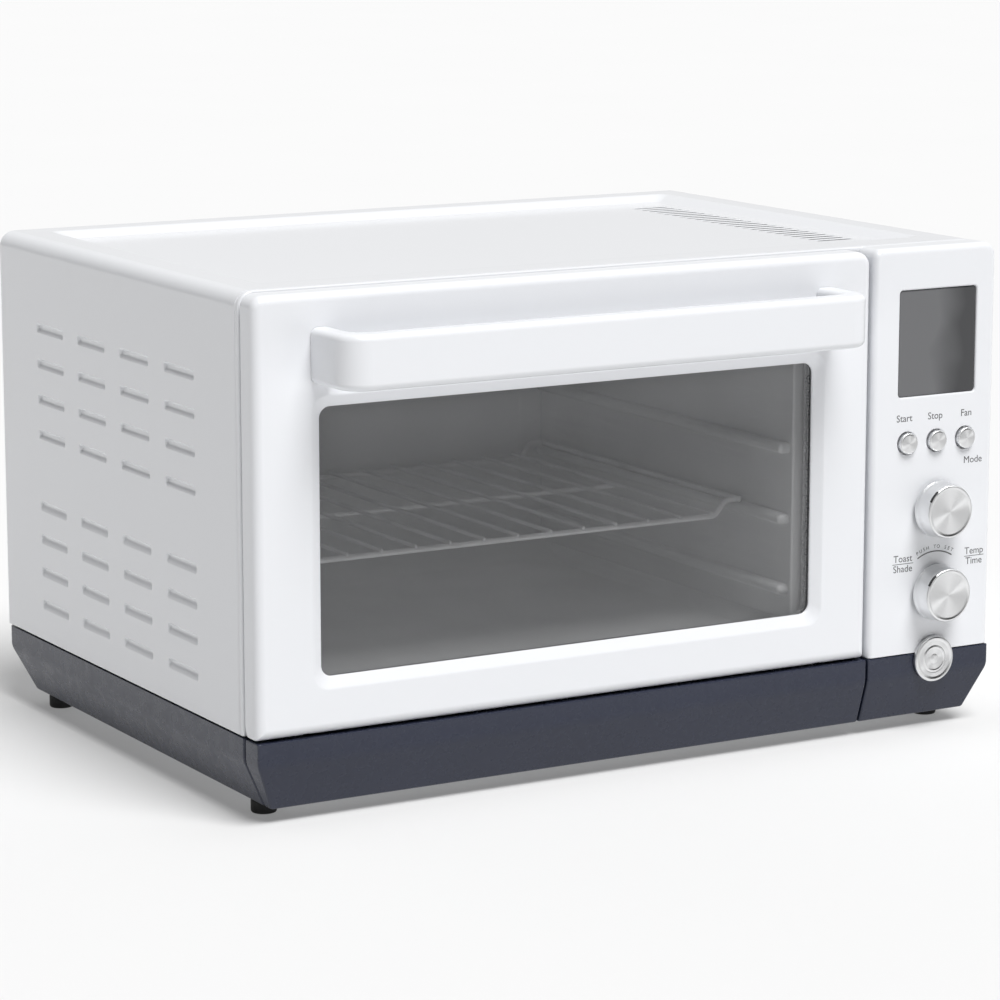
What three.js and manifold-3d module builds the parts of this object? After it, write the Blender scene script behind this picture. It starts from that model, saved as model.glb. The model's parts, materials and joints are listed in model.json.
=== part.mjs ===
// A countertop convection toaster oven, in millimetres, +Z up, standing on the table at z = 0.
// The origin is under the middle of the whole object. The front faces -Y and the door is on the left.
import * as THREE from 'three';
import { mergeVertices } from 'three/addons/utils/BufferGeometryUtils.js';
import Module from 'manifold-3d';

const wasm = await Module();
wasm.setup();

// ---- Driving dimensions ----

const WIDTH = 470;
const HEIGHT = 279.5;
const FRONT = -150;
const REAR = 181;
const REST_REAR = 190;
const HANDLE_FRONT = -190;
const LEFT = -WIDTH / 2;
const RIGHT = WIDTH / 2;

const GAP = 0.3;
const SHEET = 0.8;
const SHELL_SHEET = 0.9;
const PLASTIC = 2.5;

const FOOT_HEIGHT = 8;
const CREASE_HEIGHT = 33.5;
const BASE_TOP = 45.8;
const SHELL_BOTTOM = 46.8;
const SIDE_TAPER = 11.2;
const FRONT_TAPER = 8.2;
const REAR_TAPER = 10.8;

const FRONT_LAYER_REAR = FRONT + 15;
const BODY_FRONT = FRONT + 17.5;
const SKIRT_RIGHT = 149.3;
const DOOR_RIGHT = 148.4;
const PANEL_LEFT = 150.5;

const HINGE = { y: FRONT + 6, z: SHELL_BOTTOM + 6 };
const BRACKET_X = [-205, 118];
const WINDOW = { left: -196, right: 111, bottom: 76.8, top: 218.8, radius: 6, bevel: 6 };
const GLASS_DEPTH = 5;
const GLASS_THICKNESS = 4;

const CAVITY = { left: -195, right: 109, front: -131.3, rear: 144, floor: 62, wallFoot: 70, top: 240 };
const RIB_HEIGHTS = [87.2, 127.6, 168];
const RIB_RADIUS = 3;
const RIB_REACH = 7;
const ELEMENT_DEPTHS = [-70, 80];
const UPPER_ELEMENT_Z = 226;
const LOWER_ELEMENT_Z = 53;
const ELEMENT_RADIUS = 3.5;

const PANEL_CENTRE = 195;
const BUTTONS = { start_button: 174.6, cancel_button: 194.9, fan_button: 215 };
const BUTTON_Z = 168.5;
const BUTTON_RADIUS = 6;
const KNOB_X = 195.5;
const MODE_KNOB_Z = 129.4;
const TEMP_KNOB_Z = 81.1;
const DISPLAY = { left: 168.3, right: 221.1, bottom: 195.1, top: 255 };

const FAN = { y: 20, z: 148, radius: 42 };

// ---- Finishes ----

const FINISHES = {
  white_paint: { color: 0xe9eaee, roughness: 0.35, metalness: 0 },
  white_plastic: { color: 0xecedf1, roughness: 0.3, metalness: 0 },
  slate_plastic: { color: 0x474a57, roughness: 0.4, metalness: 0 },
  black_plastic: { color: 0x1c1c1e, roughness: 0.6, metalness: 0 },
  black_rubber: { color: 0x222222, roughness: 0.9, metalness: 0 },
  galvanised_steel: { color: 0xb4b7ba, roughness: 0.45, metalness: 0.9 },
  cavity_steel: { color: 0x8a8c8f, roughness: 0.5, metalness: 0.8 },
  bright_steel: { color: 0xc9cbcd, roughness: 0.25, metalness: 1 },
  spun_aluminium: { color: 0xd7d9da, roughness: 0.3, metalness: 1 },
  door_glass: { color: 0x6a6b6d, roughness: 0.05, metalness: 0 },
  display_lens: { color: 0x5a5b5e, roughness: 0.08, metalness: 0 },
  element_sheath: { color: 0x55524e, roughness: 0.6, metalness: 0.6 },
  circuit_board: { color: 0x2f5f3a, roughness: 0.5, metalness: 0 },
  spring_steel: { color: 0x9a9c9e, roughness: 0.35, metalness: 1 },
};

// ---- Solids and geometry ----

// A closed solid from any three.js geometry whose faces all point one way.
function solid(geometry) {
  const bare = new THREE.BufferGeometry();
  const source = geometry.index ? geometry.toNonIndexed() : geometry;
  bare.setAttribute('position', source.getAttribute('position').clone());
  const merged = mergeVertices(bare, 1e-4);
  const position = merged.getAttribute('position');
  const faces = [];
  for (let i = 0; i < merged.index.count; i += 3) {
    const [a, b, c] = [0, 1, 2].map((k) => merged.index.getX(i + k));
    if (a !== b && b !== c && c !== a) {
      faces.push(a, b, c);
    }
  }
  const build = (triangles) => new wasm.Manifold(new wasm.Mesh({
    numProp: 3,
    vertProperties: new Float32Array(position.array),
    triVerts: new Uint32Array(triangles),
  }));
  const made = build(faces);
  if (made.volume() > 0) {
    return made;
  }
  return build(faces.reverse());
}

function geometryOf(body) {
  const mesh = body.getMesh();
  const geometry = new THREE.BufferGeometry();
  geometry.setAttribute('position', new THREE.BufferAttribute(new Float32Array(mesh.vertProperties), 3));
  geometry.setIndex(new THREE.BufferAttribute(new Uint32Array(mesh.triVerts), 1));
  geometry.computeVertexNormals();
  return geometry;
}

function union(...bodies) {
  return bodies.reduce((sum, body) => sum.add(body));
}

function cut(body, ...tools) {
  return tools.reduce((rest, tool) => rest.subtract(tool), body);
}

function box(x0, x1, y0, y1, z0, z1) {
  const geometry = new THREE.BoxGeometry(x1 - x0, y1 - y0, z1 - z0);
  geometry.translate((x0 + x1) / 2, (y0 + y1) / 2, (z0 + z1) / 2);
  return solid(geometry);
}

const AXES = {
  x: new THREE.Vector3(1, 0, 0),
  y: new THREE.Vector3(0, 1, 0),
  z: new THREE.Vector3(0, 0, 1),
};

// A straight round bar between two points.
function bar(from, to, radius, sides = 16) {
  const start = new THREE.Vector3(...from);
  const end = new THREE.Vector3(...to);
  const along = end.clone().sub(start);
  const geometry = new THREE.CylinderGeometry(radius, radius, along.length(), sides);
  geometry.applyQuaternion(new THREE.Quaternion().setFromUnitVectors(AXES.y, along.normalize()));
  const middle = start.add(end).multiplyScalar(0.5);
  geometry.translate(middle.x, middle.y, middle.z);
  return solid(geometry);
}

function extruded(outline, depth, curveSegments) {
  return new THREE.ExtrudeGeometry(outline, { depth, bevelEnabled: false, curveSegments });
}

// An outline drawn in (x, y), pushed up from z0 to z1.
function prismZ(outline, z0, z1, curveSegments = 3) {
  const geometry = extruded(outline, z1 - z0, curveSegments);
  geometry.translate(0, 0, z0);
  return solid(geometry);
}

// An outline drawn in (x, z), pushed back from y0 to y1.
function prismY(outline, y0, y1, curveSegments = 3) {
  const geometry = extruded(outline, y1 - y0, curveSegments);
  geometry.rotateX(Math.PI / 2);
  geometry.translate(0, y1, 0);
  return solid(geometry);
}

// An outline drawn in (y, z), pushed right from x0 to x1.
function prismX(outline, x0, x1, curveSegments = 3) {
  const geometry = extruded(outline, x1 - x0, curveSegments);
  geometry.applyMatrix4(new THREE.Matrix4().makeBasis(AXES.y, AXES.z, AXES.x));
  geometry.translate(x0, 0, 0);
  return solid(geometry);
}

// A rectangle with its four corners rounded; radii run anticlockwise from the lower left.
function roundedRect(x0, x1, y0, y1, radii) {
  const [r00, r10, r11, r01] = Array.isArray(radii) ? radii : [radii, radii, radii, radii];
  const quarter = Math.PI / 2;
  const outline = new THREE.Shape();
  outline.moveTo(x0 + r00, y0);
  outline.lineTo(x1 - r10, y0);
  outline.absarc(x1 - r10, y0 + r10, r10, -quarter, 0, false);
  outline.lineTo(x1, y1 - r11);
  outline.absarc(x1 - r11, y1 - r11, r11, 0, quarter, false);
  outline.lineTo(x0 + r01, y1);
  outline.absarc(x0 + r01, y1 - r01, r01, quarter, 2 * quarter, false);
  outline.lineTo(x0, y0 + r00);
  outline.absarc(x0 + r00, y0 + r00, r00, 2 * quarter, 3 * quarter, false);
  return outline;
}

// The points of a rounded rectangle, anticlockwise, with the same count for any radius.
function ring(x0, x1, y0, y1, radius, steps = 4) {
  const corners = [[x1 - radius, y0 + radius], [x1 - radius, y1 - radius],
    [x0 + radius, y1 - radius], [x0 + radius, y0 + radius]];
  return corners.flatMap(([cx, cy], corner) => {
    const points = [];
    for (let step = 0; step <= steps; step += 1) {
      const angle = (corner - 1 + step / Math.max(steps, 1)) * (Math.PI / 2);
      points.push([cx + radius * Math.cos(angle), cy + radius * Math.sin(angle)]);
    }
    return points;
  });
}

// A solid through flat rings of equal count, given from the lowest to the highest as { z, points }.
function loft(levels) {
  const count = levels[0].points.length;
  const corner = (level, k) => [...levels[level].points[k % count], levels[level].z];
  const triangles = [];
  for (let level = 0; level + 1 < levels.length; level += 1) {
    for (let k = 0; k < count; k += 1) {
      triangles.push(corner(level, k), corner(level, k + 1), corner(level + 1, k + 1));
      triangles.push(corner(level, k), corner(level + 1, k + 1), corner(level + 1, k));
    }
  }
  const last = levels.length - 1;
  for (let k = 1; k + 1 < count; k += 1) {
    triangles.push(corner(0, 0), corner(0, k + 1), corner(0, k));
    triangles.push(corner(last, 0), corner(last, k), corner(last, k + 1));
  }
  const geometry = new THREE.BufferGeometry();
  geometry.setAttribute('position', new THREE.Float32BufferAttribute(triangles.flat(), 3));
  return solid(geometry);
}

// A turned solid about an axis along Y; the profile is [radius, y] pairs from the axis back to the axis.
function turned(profile, x, z, segments = 32) {
  const points = profile.map(([radius, y]) => new THREE.Vector2(radius, y));
  const geometry = new THREE.LatheGeometry(points, segments);
  geometry.translate(x, 0, z);
  return solid(geometry);
}

const oven = new THREE.Group();

function part(name, body, finish) {
  const mesh = new THREE.Mesh(geometryOf(body), new THREE.MeshStandardMaterial(FINISHES[finish]));
  mesh.name = name;
  oven.add(mesh);
}

// ---- Base: tapered plastic ring, steel pan, feet and the fixed skirt under the control panel ----

// The base's outer shape, drawn in by "inset" on every wall. A taper of 0 keeps that wall upright.
function baseBlock(x0, x1, y0, y1, inset, tapers) {
  const level = (z, k) => ({
    z,
    points: ring(x0 + inset + k * tapers.left, x1 - inset - k * tapers.right,
      y0 + inset + k * tapers.front, y1 - inset - k * tapers.rear, 0, 0),
  });
  const overrun = inset > 0 ? 1 : 0;
  const slope = 1 / (CREASE_HEIGHT - FOOT_HEIGHT);
  return loft([
    level(FOOT_HEIGHT - overrun, 1 + overrun * slope),
    level(CREASE_HEIGHT, 0),
    level(BASE_TOP + overrun, 0),
  ]);
}

function buildBase() {
  const front = FRONT_LAYER_REAR + 2;
  const tapers = { left: SIDE_TAPER, right: SIDE_TAPER, front: 0, rear: REAR_TAPER };
  const trayPassage = box(LEFT + 20, PANEL_LEFT - 12, front - 1, front + PLASTIC + 1, 34, BASE_TOP + 1);
  const ledges = [[-210, -196], [111, 125]].map(([x0, x1]) => (
    box(x0, x1, front, REAR - 4, 31, TRAY.bottom - GAP)));
  const walls = cut(
    baseBlock(LEFT, RIGHT, front, REAR, 0, tapers),
    baseBlock(LEFT, RIGHT, front, REAR, PLASTIC, tapers),
    trayPassage,
  );
  part('base_shell', union(walls, ...ledges), 'slate_plastic');

  const panEdge = RIGHT - SIDE_TAPER - PLASTIC - 0.8;
  const panRear = REAR - REAR_TAPER - PLASTIC - 0.8;
  const pan = box(-panEdge, panEdge, front + PLASTIC + 0.5, panRear, FOOT_HEIGHT, FOOT_HEIGHT + SHEET);
  const slots = [];
  for (let x = -150; x <= 150; x += 60) {
    slots.push(box(x - 3, x + 3, -60, -10, 5, 15), box(x - 3, x + 3, 50, 100, 5, 15));
  }
  const stemHoles = footPlaces().map(([, x, y]) => bar([x, y, 5], [x, y, 15], 2.6, 12));
  part('base_pan', cut(pan, ...slots, ...stemHoles), 'galvanised_steel');
}

function footPlaces() {
  const x = RIGHT - 19.5;
  const frontY = FRONT + 33.8;
  const rearY = REAR - 30;
  return [
    ['foot_front_left', -x, frontY],
    ['foot_front_right', x, frontY],
    ['foot_rear_left', -x, rearY],
    ['foot_rear_right', x, rearY],
  ];
}

function buildFeet() {
  for (const [name, x, y] of footPlaces()) {
    const pad = bar([x, y, 0], [x, y, FOOT_HEIGHT - GAP], 7, 20);
    const stem = bar([x, y, 2], [x, y, FOOT_HEIGHT + 5], 2, 12);
    part(name, union(pad, stem), 'black_rubber');
  }
}

// A hollow moulding open at the back, for the two skirts.
function skirt(x0, x1, tapers) {
  const shape = { right: 0, left: 0, rear: 0, front: FRONT_TAPER, ...tapers };
  const inner = baseBlock(x0, x1, FRONT, FRONT_LAYER_REAR + 10, PLASTIC, shape);
  const bottomTrim = box(x0, x1, FRONT, REAR, 0, FOOT_HEIGHT + PLASTIC);
  const topTrim = box(x0, x1, FRONT, REAR, BASE_TOP - PLASTIC, HEIGHT);
  return cut(baseBlock(x0, x1, FRONT, FRONT_LAYER_REAR, 0, shape), cut(inner, bottomTrim, topTrim));
}

function buildSkirts() {
  part('front_skirt', skirt(LEFT, SKIRT_RIGHT, { left: SIDE_TAPER }), 'slate_plastic');
  part('panel_skirt', skirt(PANEL_LEFT, RIGHT, { right: SIDE_TAPER }), 'slate_plastic');
}

// ---- Crumb tray: a shallow pan that the front skirt pulls out under the door ----

const TRAY = { left: -190, right: 105, rear: 140, bottom: 37, top: 44.5 };

function buildCrumbTray() {
  const flangeFront = FRONT_LAYER_REAR + GAP;
  const outer = box(TRAY.left, TRAY.right, flangeFront, TRAY.rear, TRAY.bottom, TRAY.top);
  const hollow = box(TRAY.left + SHEET, TRAY.right - SHEET, flangeFront + SHEET, TRAY.rear - SHEET,
    TRAY.bottom + SHEET, TRAY.top + 1);
  const flange = box(TRAY.left, TRAY.right, flangeFront, flangeFront + SHEET, 14, TRAY.top);
  const runners = [[-206, TRAY.left + 1], [TRAY.right - 1, 121]].map(([x0, x1]) => (
    box(x0, x1, flangeFront + 10, TRAY.rear, TRAY.bottom, TRAY.bottom + SHEET)));
  part('crumb_tray', union(cut(outer, hollow), flange, ...runners), 'cavity_steel');
}

// ---- Outer shell: one painted steel wrap over the top and both sides ----

function wrapOutline() {
  const outer = 9;
  const inner = outer - SHELL_SHEET;
  const quarter = Math.PI / 2;
  const centreX = RIGHT - outer;
  const centreZ = HEIGHT - outer;
  const outline = new THREE.Shape();
  outline.moveTo(LEFT, SHELL_BOTTOM);
  outline.lineTo(LEFT, centreZ);
  outline.absarc(-centreX, centreZ, outer, 2 * quarter, quarter, true);
  outline.lineTo(centreX, HEIGHT);
  outline.absarc(centreX, centreZ, outer, quarter, 0, true);
  outline.lineTo(RIGHT, SHELL_BOTTOM);
  outline.lineTo(RIGHT - SHELL_SHEET, SHELL_BOTTOM);
  outline.lineTo(RIGHT - SHELL_SHEET, centreZ);
  outline.absarc(centreX, centreZ, inner, 0, quarter, false);
  outline.lineTo(-centreX, HEIGHT - SHELL_SHEET);
  outline.absarc(-centreX, centreZ, inner, quarter, 2 * quarter, false);
  outline.lineTo(LEFT + SHELL_SHEET, SHELL_BOTTOM);
  return outline;
}

// The pressed panel in the top: a sunken floor with sloped walls.
function recessBlock(grow, topZ, floorZ) {
  const slope = 11;
  const depth = 4;
  const outerAt = (z) => grow - slope * (HEIGHT - z) / depth;
  const at = (z) => ({
    z,
    points: ring(-211 - outerAt(z), 211 + outerAt(z), -108 - outerAt(z), 164 + outerAt(z), 3, 2),
  });
  return loft([at(floorZ), at(topZ)]);
}

const LOUVRE = { firstY: -60.5, pitchY: 57, length: 36, height: 3.2 };
const LOUVRE_ROWS = [68, 87.3, 106.7, 126, 167.8, 188.3, 208.8, 229.3];

function louvreSlots() {
  const slots = [];
  for (const z of LOUVRE_ROWS) {
    for (let column = 0; column < 4; column += 1) {
      const y = LOUVRE.firstY + column * LOUVRE.pitchY;
      slots.push(box(LEFT - 1, RIGHT + 1, y - LOUVRE.length / 2, y + LOUVRE.length / 2,
        z - LOUVRE.height / 2, z + LOUVRE.height / 2));
    }
  }
  return slots;
}

const TOP_VENT = { count: 24, left: 167, right: 191, first: -69, pitch: 8.6, width: 3.8 };

function topVentSlots() {
  const slots = [];
  for (let k = 0; k < TOP_VENT.count; k += 1) {
    const y = TOP_VENT.first + k * TOP_VENT.pitch;
    slots.push(box(TOP_VENT.left, TOP_VENT.right, y - TOP_VENT.width / 2, y + TOP_VENT.width / 2,
      HEIGHT - 12, HEIGHT + 2));
  }
  return slots;
}

function buildOuterShell() {
  const wrap = prismY(wrapOutline(), BODY_FRONT, REAR, 3);
  const recessPan = recessBlock(1.5, HEIGHT - SHELL_SHEET / 2, HEIGHT - 4 - SHELL_SHEET);
  const recess = recessBlock(0, HEIGHT + 1, HEIGHT - 4);
  const pressed = cut(union(wrap, recessPan), recess);
  part('outer_shell', cut(pressed, ...louvreSlots(), ...topVentSlots()), 'white_paint');
}

// ---- Rear cover with its vents, screws and wall spacers ----

const REAR_PLATE = { front: REAR - 2.8, rear: REAR - 2.8 + SHEET };
const SCREW_PLACES = {
  rear_screw_top_left: [-210, 258],
  rear_screw_top_right: [210, 258],
  rear_screw_bottom_left: [-210, 66],
  rear_screw_bottom_right: [210, 66],
};
const SPACER_PLACES = { rear_spacer_left: [-150, 235], rear_spacer_right: [150, 235] };
const CORD_HOLE = { x: 165, z: 75, radius: 6 };

function buildRearCover() {
  const edge = RIGHT - SHELL_SHEET - GAP;
  const plate = prismY(
    roundedRect(-edge, edge, SHELL_BOTTOM + 0.6, HEIGHT - SHELL_SHEET - GAP, [1, 1, 9, 9]),
    REAR_PLATE.front,
    REAR_PLATE.rear,
    2,
  );
  const vents = [];
  for (const z of [100, 205, 225]) {
    for (let x = -120; x <= 120; x += 30) {
      vents.push(box(x - 10, x + 10, REAR_PLATE.front - 1, REAR + 1, z - 2, z + 2));
    }
  }
  const screwHoles = Object.values(SCREW_PLACES).map(([x, z]) => (
    bar([x, REAR_PLATE.front - 1, z], [x, REAR + 1, z], 2, 12)));
  const cordHole = bar([CORD_HOLE.x, REAR_PLATE.front - 1, CORD_HOLE.z],
    [CORD_HOLE.x, REAR + 1, CORD_HOLE.z], CORD_HOLE.radius + GAP, 20);
  part('rear_cover', cut(plate, ...vents, ...screwHoles, cordHole), 'galvanised_steel');

  for (const [name, [x, z]] of Object.entries(SCREW_PLACES)) {
    const head = bar([x, REAR_PLATE.rear + GAP, z], [x, REAR_PLATE.rear + 2.3, z], 3.6, 14);
    const shank = bar([x, REAR_PLATE.front - 5, z], [x, REAR_PLATE.rear + 1, z], 1.5, 10);
    part(name, union(head, shank), 'bright_steel');
  }
  for (const [name, [x, z]] of Object.entries(SPACER_PLACES)) {
    part(name, bar([x, REAR_PLATE.rear + GAP, z], [x, REST_REAR, z], 6, 20), 'black_rubber');
  }
  const gland = turned([[3.6, REAR_PLATE.front - 3], [CORD_HOLE.radius, REAR_PLATE.front - 3],
    [CORD_HOLE.radius, REAR_PLATE.rear + GAP], [9, REAR_PLATE.rear + GAP], [9, REAR_PLATE.rear + 2],
    [7.5, REAR_PLATE.rear + 4], [3.6, REAR_PLATE.rear + 4], [3.6, REAR_PLATE.front - 3]],
  CORD_HOLE.x, CORD_HOLE.z, 20);
  part('cord_gland', gland, 'black_plastic');
}

// ---- Front frame: the steel plate round the oven mouth, with the two hinge arms ----

const FRAME_PLATE = { front: BODY_FRONT - 0.9, rear: BODY_FRONT + 0.3 };
const ARM = { half: 3, thickness: 3, pinHole: 1.62 };

function buildFrontFrame() {
  const plate = prismY(
    roundedRect(LEFT + SHELL_SHEET + 3, DOOR_RIGHT, SHELL_BOTTOM + 1.2, HEIGHT - 10, 4),
    FRAME_PLATE.front,
    FRAME_PLATE.rear,
    2,
  );
  const mouth = prismY(
    roundedRect(CAVITY.left + 1, CAVITY.right - 1, CAVITY.floor + 1, CAVITY.top - 1, 8),
    FRAME_PLATE.front - 1,
    FRAME_PLATE.rear + 1,
    2,
  );
  const arms = BRACKET_X.map((x) => {
    const left = x - ARM.thickness / 2;
    const right = x + ARM.thickness / 2;
    const strap = box(left, right, HINGE.y, FRAME_PLATE.front + 0.5, HINGE.z - ARM.half, HINGE.z + ARM.half);
    const eye = bar([left, HINGE.y, HINGE.z], [right, HINGE.y, HINGE.z], ARM.half, 16);
    const hole = bar([left - 1, HINGE.y, HINGE.z], [right + 1, HINGE.y, HINGE.z], ARM.pinHole, 16);
    return cut(union(strap, eye), hole);
  });
  part('front_frame', union(cut(plate, mouth), ...arms), 'cavity_steel');
}

// ---- Oven cavity: five pressed sheets, the rack ribs and the heating elements ----

function ribs(wallX, inward) {
  return RIB_HEIGHTS.map((z) => {
    const tip = wallX + inward * (RIB_REACH - RIB_RADIUS);
    const root = wallX - inward * 0.5;
    const rear = CAVITY.rear - 4;
    const front = FRONT + 21;
    const round = bar([tip, front, z], [tip, rear, z], RIB_RADIUS, 12);
    const web = box(Math.min(tip, root), Math.max(tip, root), front, rear, z - RIB_RADIUS * 0.96,
      z + RIB_RADIUS * 0.96);
    return union(round, web);
  });
}

function elementHoles(x0, x1, z) {
  return ELEMENT_DEPTHS.map((y) => bar([x0, y, z], [x1, y, z], ELEMENT_RADIUS + 0.7, 12));
}

// The grille in front of the fan: square holes in the rows that the ribs leave clear.
function fanGrille(x0, x1) {
  const holes = [];
  const pitch = 13;
  const ribClearance = RIB_RADIUS + 5;
  for (let row = -3; row <= 3; row += 1) {
    for (let column = -3; column <= 3; column += 1) {
      const y = FAN.y + column * pitch;
      const z = FAN.z + row * pitch;
      const clearOfRibs = RIB_HEIGHTS.every((height) => Math.abs(z - height) > ribClearance);
      if (Math.hypot(y - FAN.y, z - FAN.z) < FAN.radius - 2 && clearOfRibs) {
        holes.push(box(x0, x1, y - 4, y + 4, z - 4, z + 4));
      }
    }
  }
  return holes;
}

function cavityWall(name, x0, x1, innerX, inward) {
  const sheet = box(x0, x1, CAVITY.front, CAVITY.rear - GAP, 48, CAVITY.top - GAP);
  const holes = [UPPER_ELEMENT_Z, LOWER_ELEMENT_Z].flatMap((z) => elementHoles(x0 - 5, x1 + 5, z));
  const openings = [...holes, ...(inward > 0 ? fanGrille(x0 - 1, x1 + 1) : [])];
  part(name, cut(union(sheet, ...ribs(innerX, inward)), ...openings), 'cavity_steel');
}

function floorRing(inset, radius) {
  return ring(CAVITY.left + GAP + inset.side, CAVITY.right - GAP - inset.side, CAVITY.front + inset.front,
    CAVITY.rear - GAP - inset.rear, radius);
}

function buildCavityFloor() {
  const dish = { side: 9, front: 6, rear: 24 };
  const rim = { side: 0, front: 0, rear: 0 };
  const thinned = { side: SHEET, front: SHEET, rear: SHEET };
  const dishInside = { side: dish.side + SHEET, front: dish.front + SHEET, rear: dish.rear + SHEET };
  const outer = loft([
    { z: CAVITY.floor - SHEET, points: floorRing(dish, 28) },
    { z: CAVITY.wallFoot, points: floorRing(rim, 2) },
  ]);
  const inner = loft([
    { z: CAVITY.floor, points: floorRing(dishInside, 27) },
    { z: CAVITY.wallFoot + 0.2, points: floorRing(thinned, 2) },
  ]);
  const slots = [];
  for (let x = -150; x <= 70; x += 22) {
    slots.push(box(x - 7, x + 7, -114, -108, CAVITY.floor - 3, CAVITY.floor + 3));
  }
  part('cavity_floor', cut(outer, inner, ...slots), 'cavity_steel');
}

function buildCavityBack() {
  const plate = box(CAVITY.left - SHEET, CAVITY.right + SHEET, CAVITY.rear, CAVITY.rear + SHEET,
    48, CAVITY.top - GAP);
  part('cavity_back_wall', plate, 'cavity_steel');
}

function buildCavity() {
  cavityWall('cavity_left_wall', CAVITY.left - SHEET, CAVITY.left, CAVITY.left, 1);
  cavityWall('cavity_right_wall', CAVITY.right, CAVITY.right + SHEET, CAVITY.right, -1);
  buildCavityFloor();
  buildCavityBack();
  part('cavity_top', box(CAVITY.left - SHEET, CAVITY.right + SHEET, CAVITY.front, CAVITY.rear + SHEET,
    CAVITY.top, CAVITY.top + SHEET), 'cavity_steel');
  const depths = { front: ELEMENT_DEPTHS[0], rear: ELEMENT_DEPTHS[1] };
  for (const [place, y] of Object.entries(depths)) {
    for (const [level, z] of [['upper', UPPER_ELEMENT_Z], ['lower', LOWER_ELEMENT_Z]]) {
      const from = [CAVITY.left - 10, y, z];
      const to = [CAVITY.right + 8.5, y, z];
      part(`${level}_element_${place}`, bar(from, to, ELEMENT_RADIUS, 12), 'element_sheath');
    }
  }
}

// ---- Wire rack on the middle ribs ----

const RACK = { front: -84, rear: 135, rail: 1.6, frameWire: 1.6, crossWire: 1.1, sag: 8.4 };

// A bar that runs half its radius past both ends, so that it joins the next one.
function overlappingBar(from, to, radius) {
  const start = new THREE.Vector3(...from);
  const end = new THREE.Vector3(...to);
  const extra = end.clone().sub(start).setLength(radius / 2);
  return bar(start.sub(extra).toArray(), end.add(extra).toArray(), radius, 6);
}

function buildRack() {
  const railZ = RIB_HEIGHTS[1] + RIB_RADIUS + GAP + RACK.rail;
  const gridZ = railZ - RACK.sag;
  const railLeft = CAVITY.left + 4.4;
  const railRight = CAVITY.right - 4.4;
  const kinkOuter = 9;
  const kinkInner = 16;
  const wires = [railLeft, railRight].map((x) => (
    bar([x, RACK.front - RACK.rail, railZ], [x, RACK.rear + RACK.rail, railZ], RACK.rail, 6)));
  for (const y of [RACK.front, RACK.rear]) {
    const stations = [
      [railLeft - RACK.rail / 2, y, railZ],
      [railLeft + kinkOuter, y, railZ],
      [railLeft + kinkInner, y, gridZ],
      [railRight - kinkInner, y, gridZ],
      [railRight - kinkOuter, y, railZ],
      [railRight + RACK.rail / 2, y, railZ],
    ];
    for (let k = 0; k + 1 < stations.length; k += 1) {
      wires.push(overlappingBar(stations[k], stations[k + 1], RACK.frameWire));
    }
  }
  const crossZ = gridZ + RACK.frameWire + RACK.crossWire * 0.6;
  const first = railLeft + 20;
  const last = railRight - 20;
  const count = 13;
  for (let k = 0; k < count; k += 1) {
    const x = first + (last - first) * k / (count - 1);
    wires.push(bar([x, RACK.front - 2.5, crossZ], [x, RACK.rear + 2.5, crossZ], RACK.crossWire, 5));
  }
  const braceZ = crossZ - RACK.crossWire - RACK.frameWire * 0.6;
  wires.push(bar([first - 3, 25, braceZ], [last + 3, 25, braceZ], RACK.frameWire, 6));
  part('wire_rack', union(...wires), 'bright_steel');
}

// ---- Convection fan and motor beside the left wall, and the heat parts ----

function buildFan() {
  const hub = bar([-202, FAN.y, FAN.z], [-212, FAN.y, FAN.z], 9, 20);
  const disc = bar([-211, FAN.y, FAN.z], [-212.4, FAN.y, FAN.z], FAN.radius - 6, 28);
  const shaft = bar([-200, FAN.y, FAN.z], [-217.2, FAN.y, FAN.z], 2.5, 12);
  const blades = [];
  const bladeCount = 8;
  for (let k = 0; k < bladeCount; k += 1) {
    const blade = new THREE.BoxGeometry(10, FAN.radius - 8, 1.4);
    blade.translate(0, FAN.radius / 2, 0);
    blade.rotateY(0.35);
    blade.rotateX(k * 2 * Math.PI / bladeCount);
    blade.translate(-206.6, FAN.y, FAN.z);
    blades.push(solid(blade));
  }
  part('fan_blade', union(hub, disc, shaft, ...blades), 'galvanised_steel');

  const core = box(-232.5, -219.5, FAN.y - 27, FAN.y + 27, FAN.z - 27, FAN.z + 27);
  const bearing = bar([-220, FAN.y, FAN.z], [-215.4, FAN.y, FAN.z], 9, 16);
  const bore = bar([-219, FAN.y, FAN.z], [-214, FAN.y, FAN.z], 2.9, 12);
  part('fan_motor', cut(union(core, bearing), bore), 'galvanised_steel');
  const cutoff = bar([-42, 40, CAVITY.top + SHEET + GAP], [-42, 40, CAVITY.top + 9], 9, 20);
  part('thermal_cutoff', cutoff, 'bright_steel');
  const shield = box(118.2, 118.2 + SHEET, CAVITY.front, REAR_PLATE.front - 1, 48, 268);
  part('heat_shield', shield, 'galvanised_steel');
}

// ---- Control compartment: panel moulding, display, buttons, knobs and boards ----

const BOARD = { front: -136, rear: -134.4 };
const PANEL_REAR = BODY_FRONT - 0.5;
const PANEL_WALL_REAR = FRONT + PLASTIC;

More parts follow.
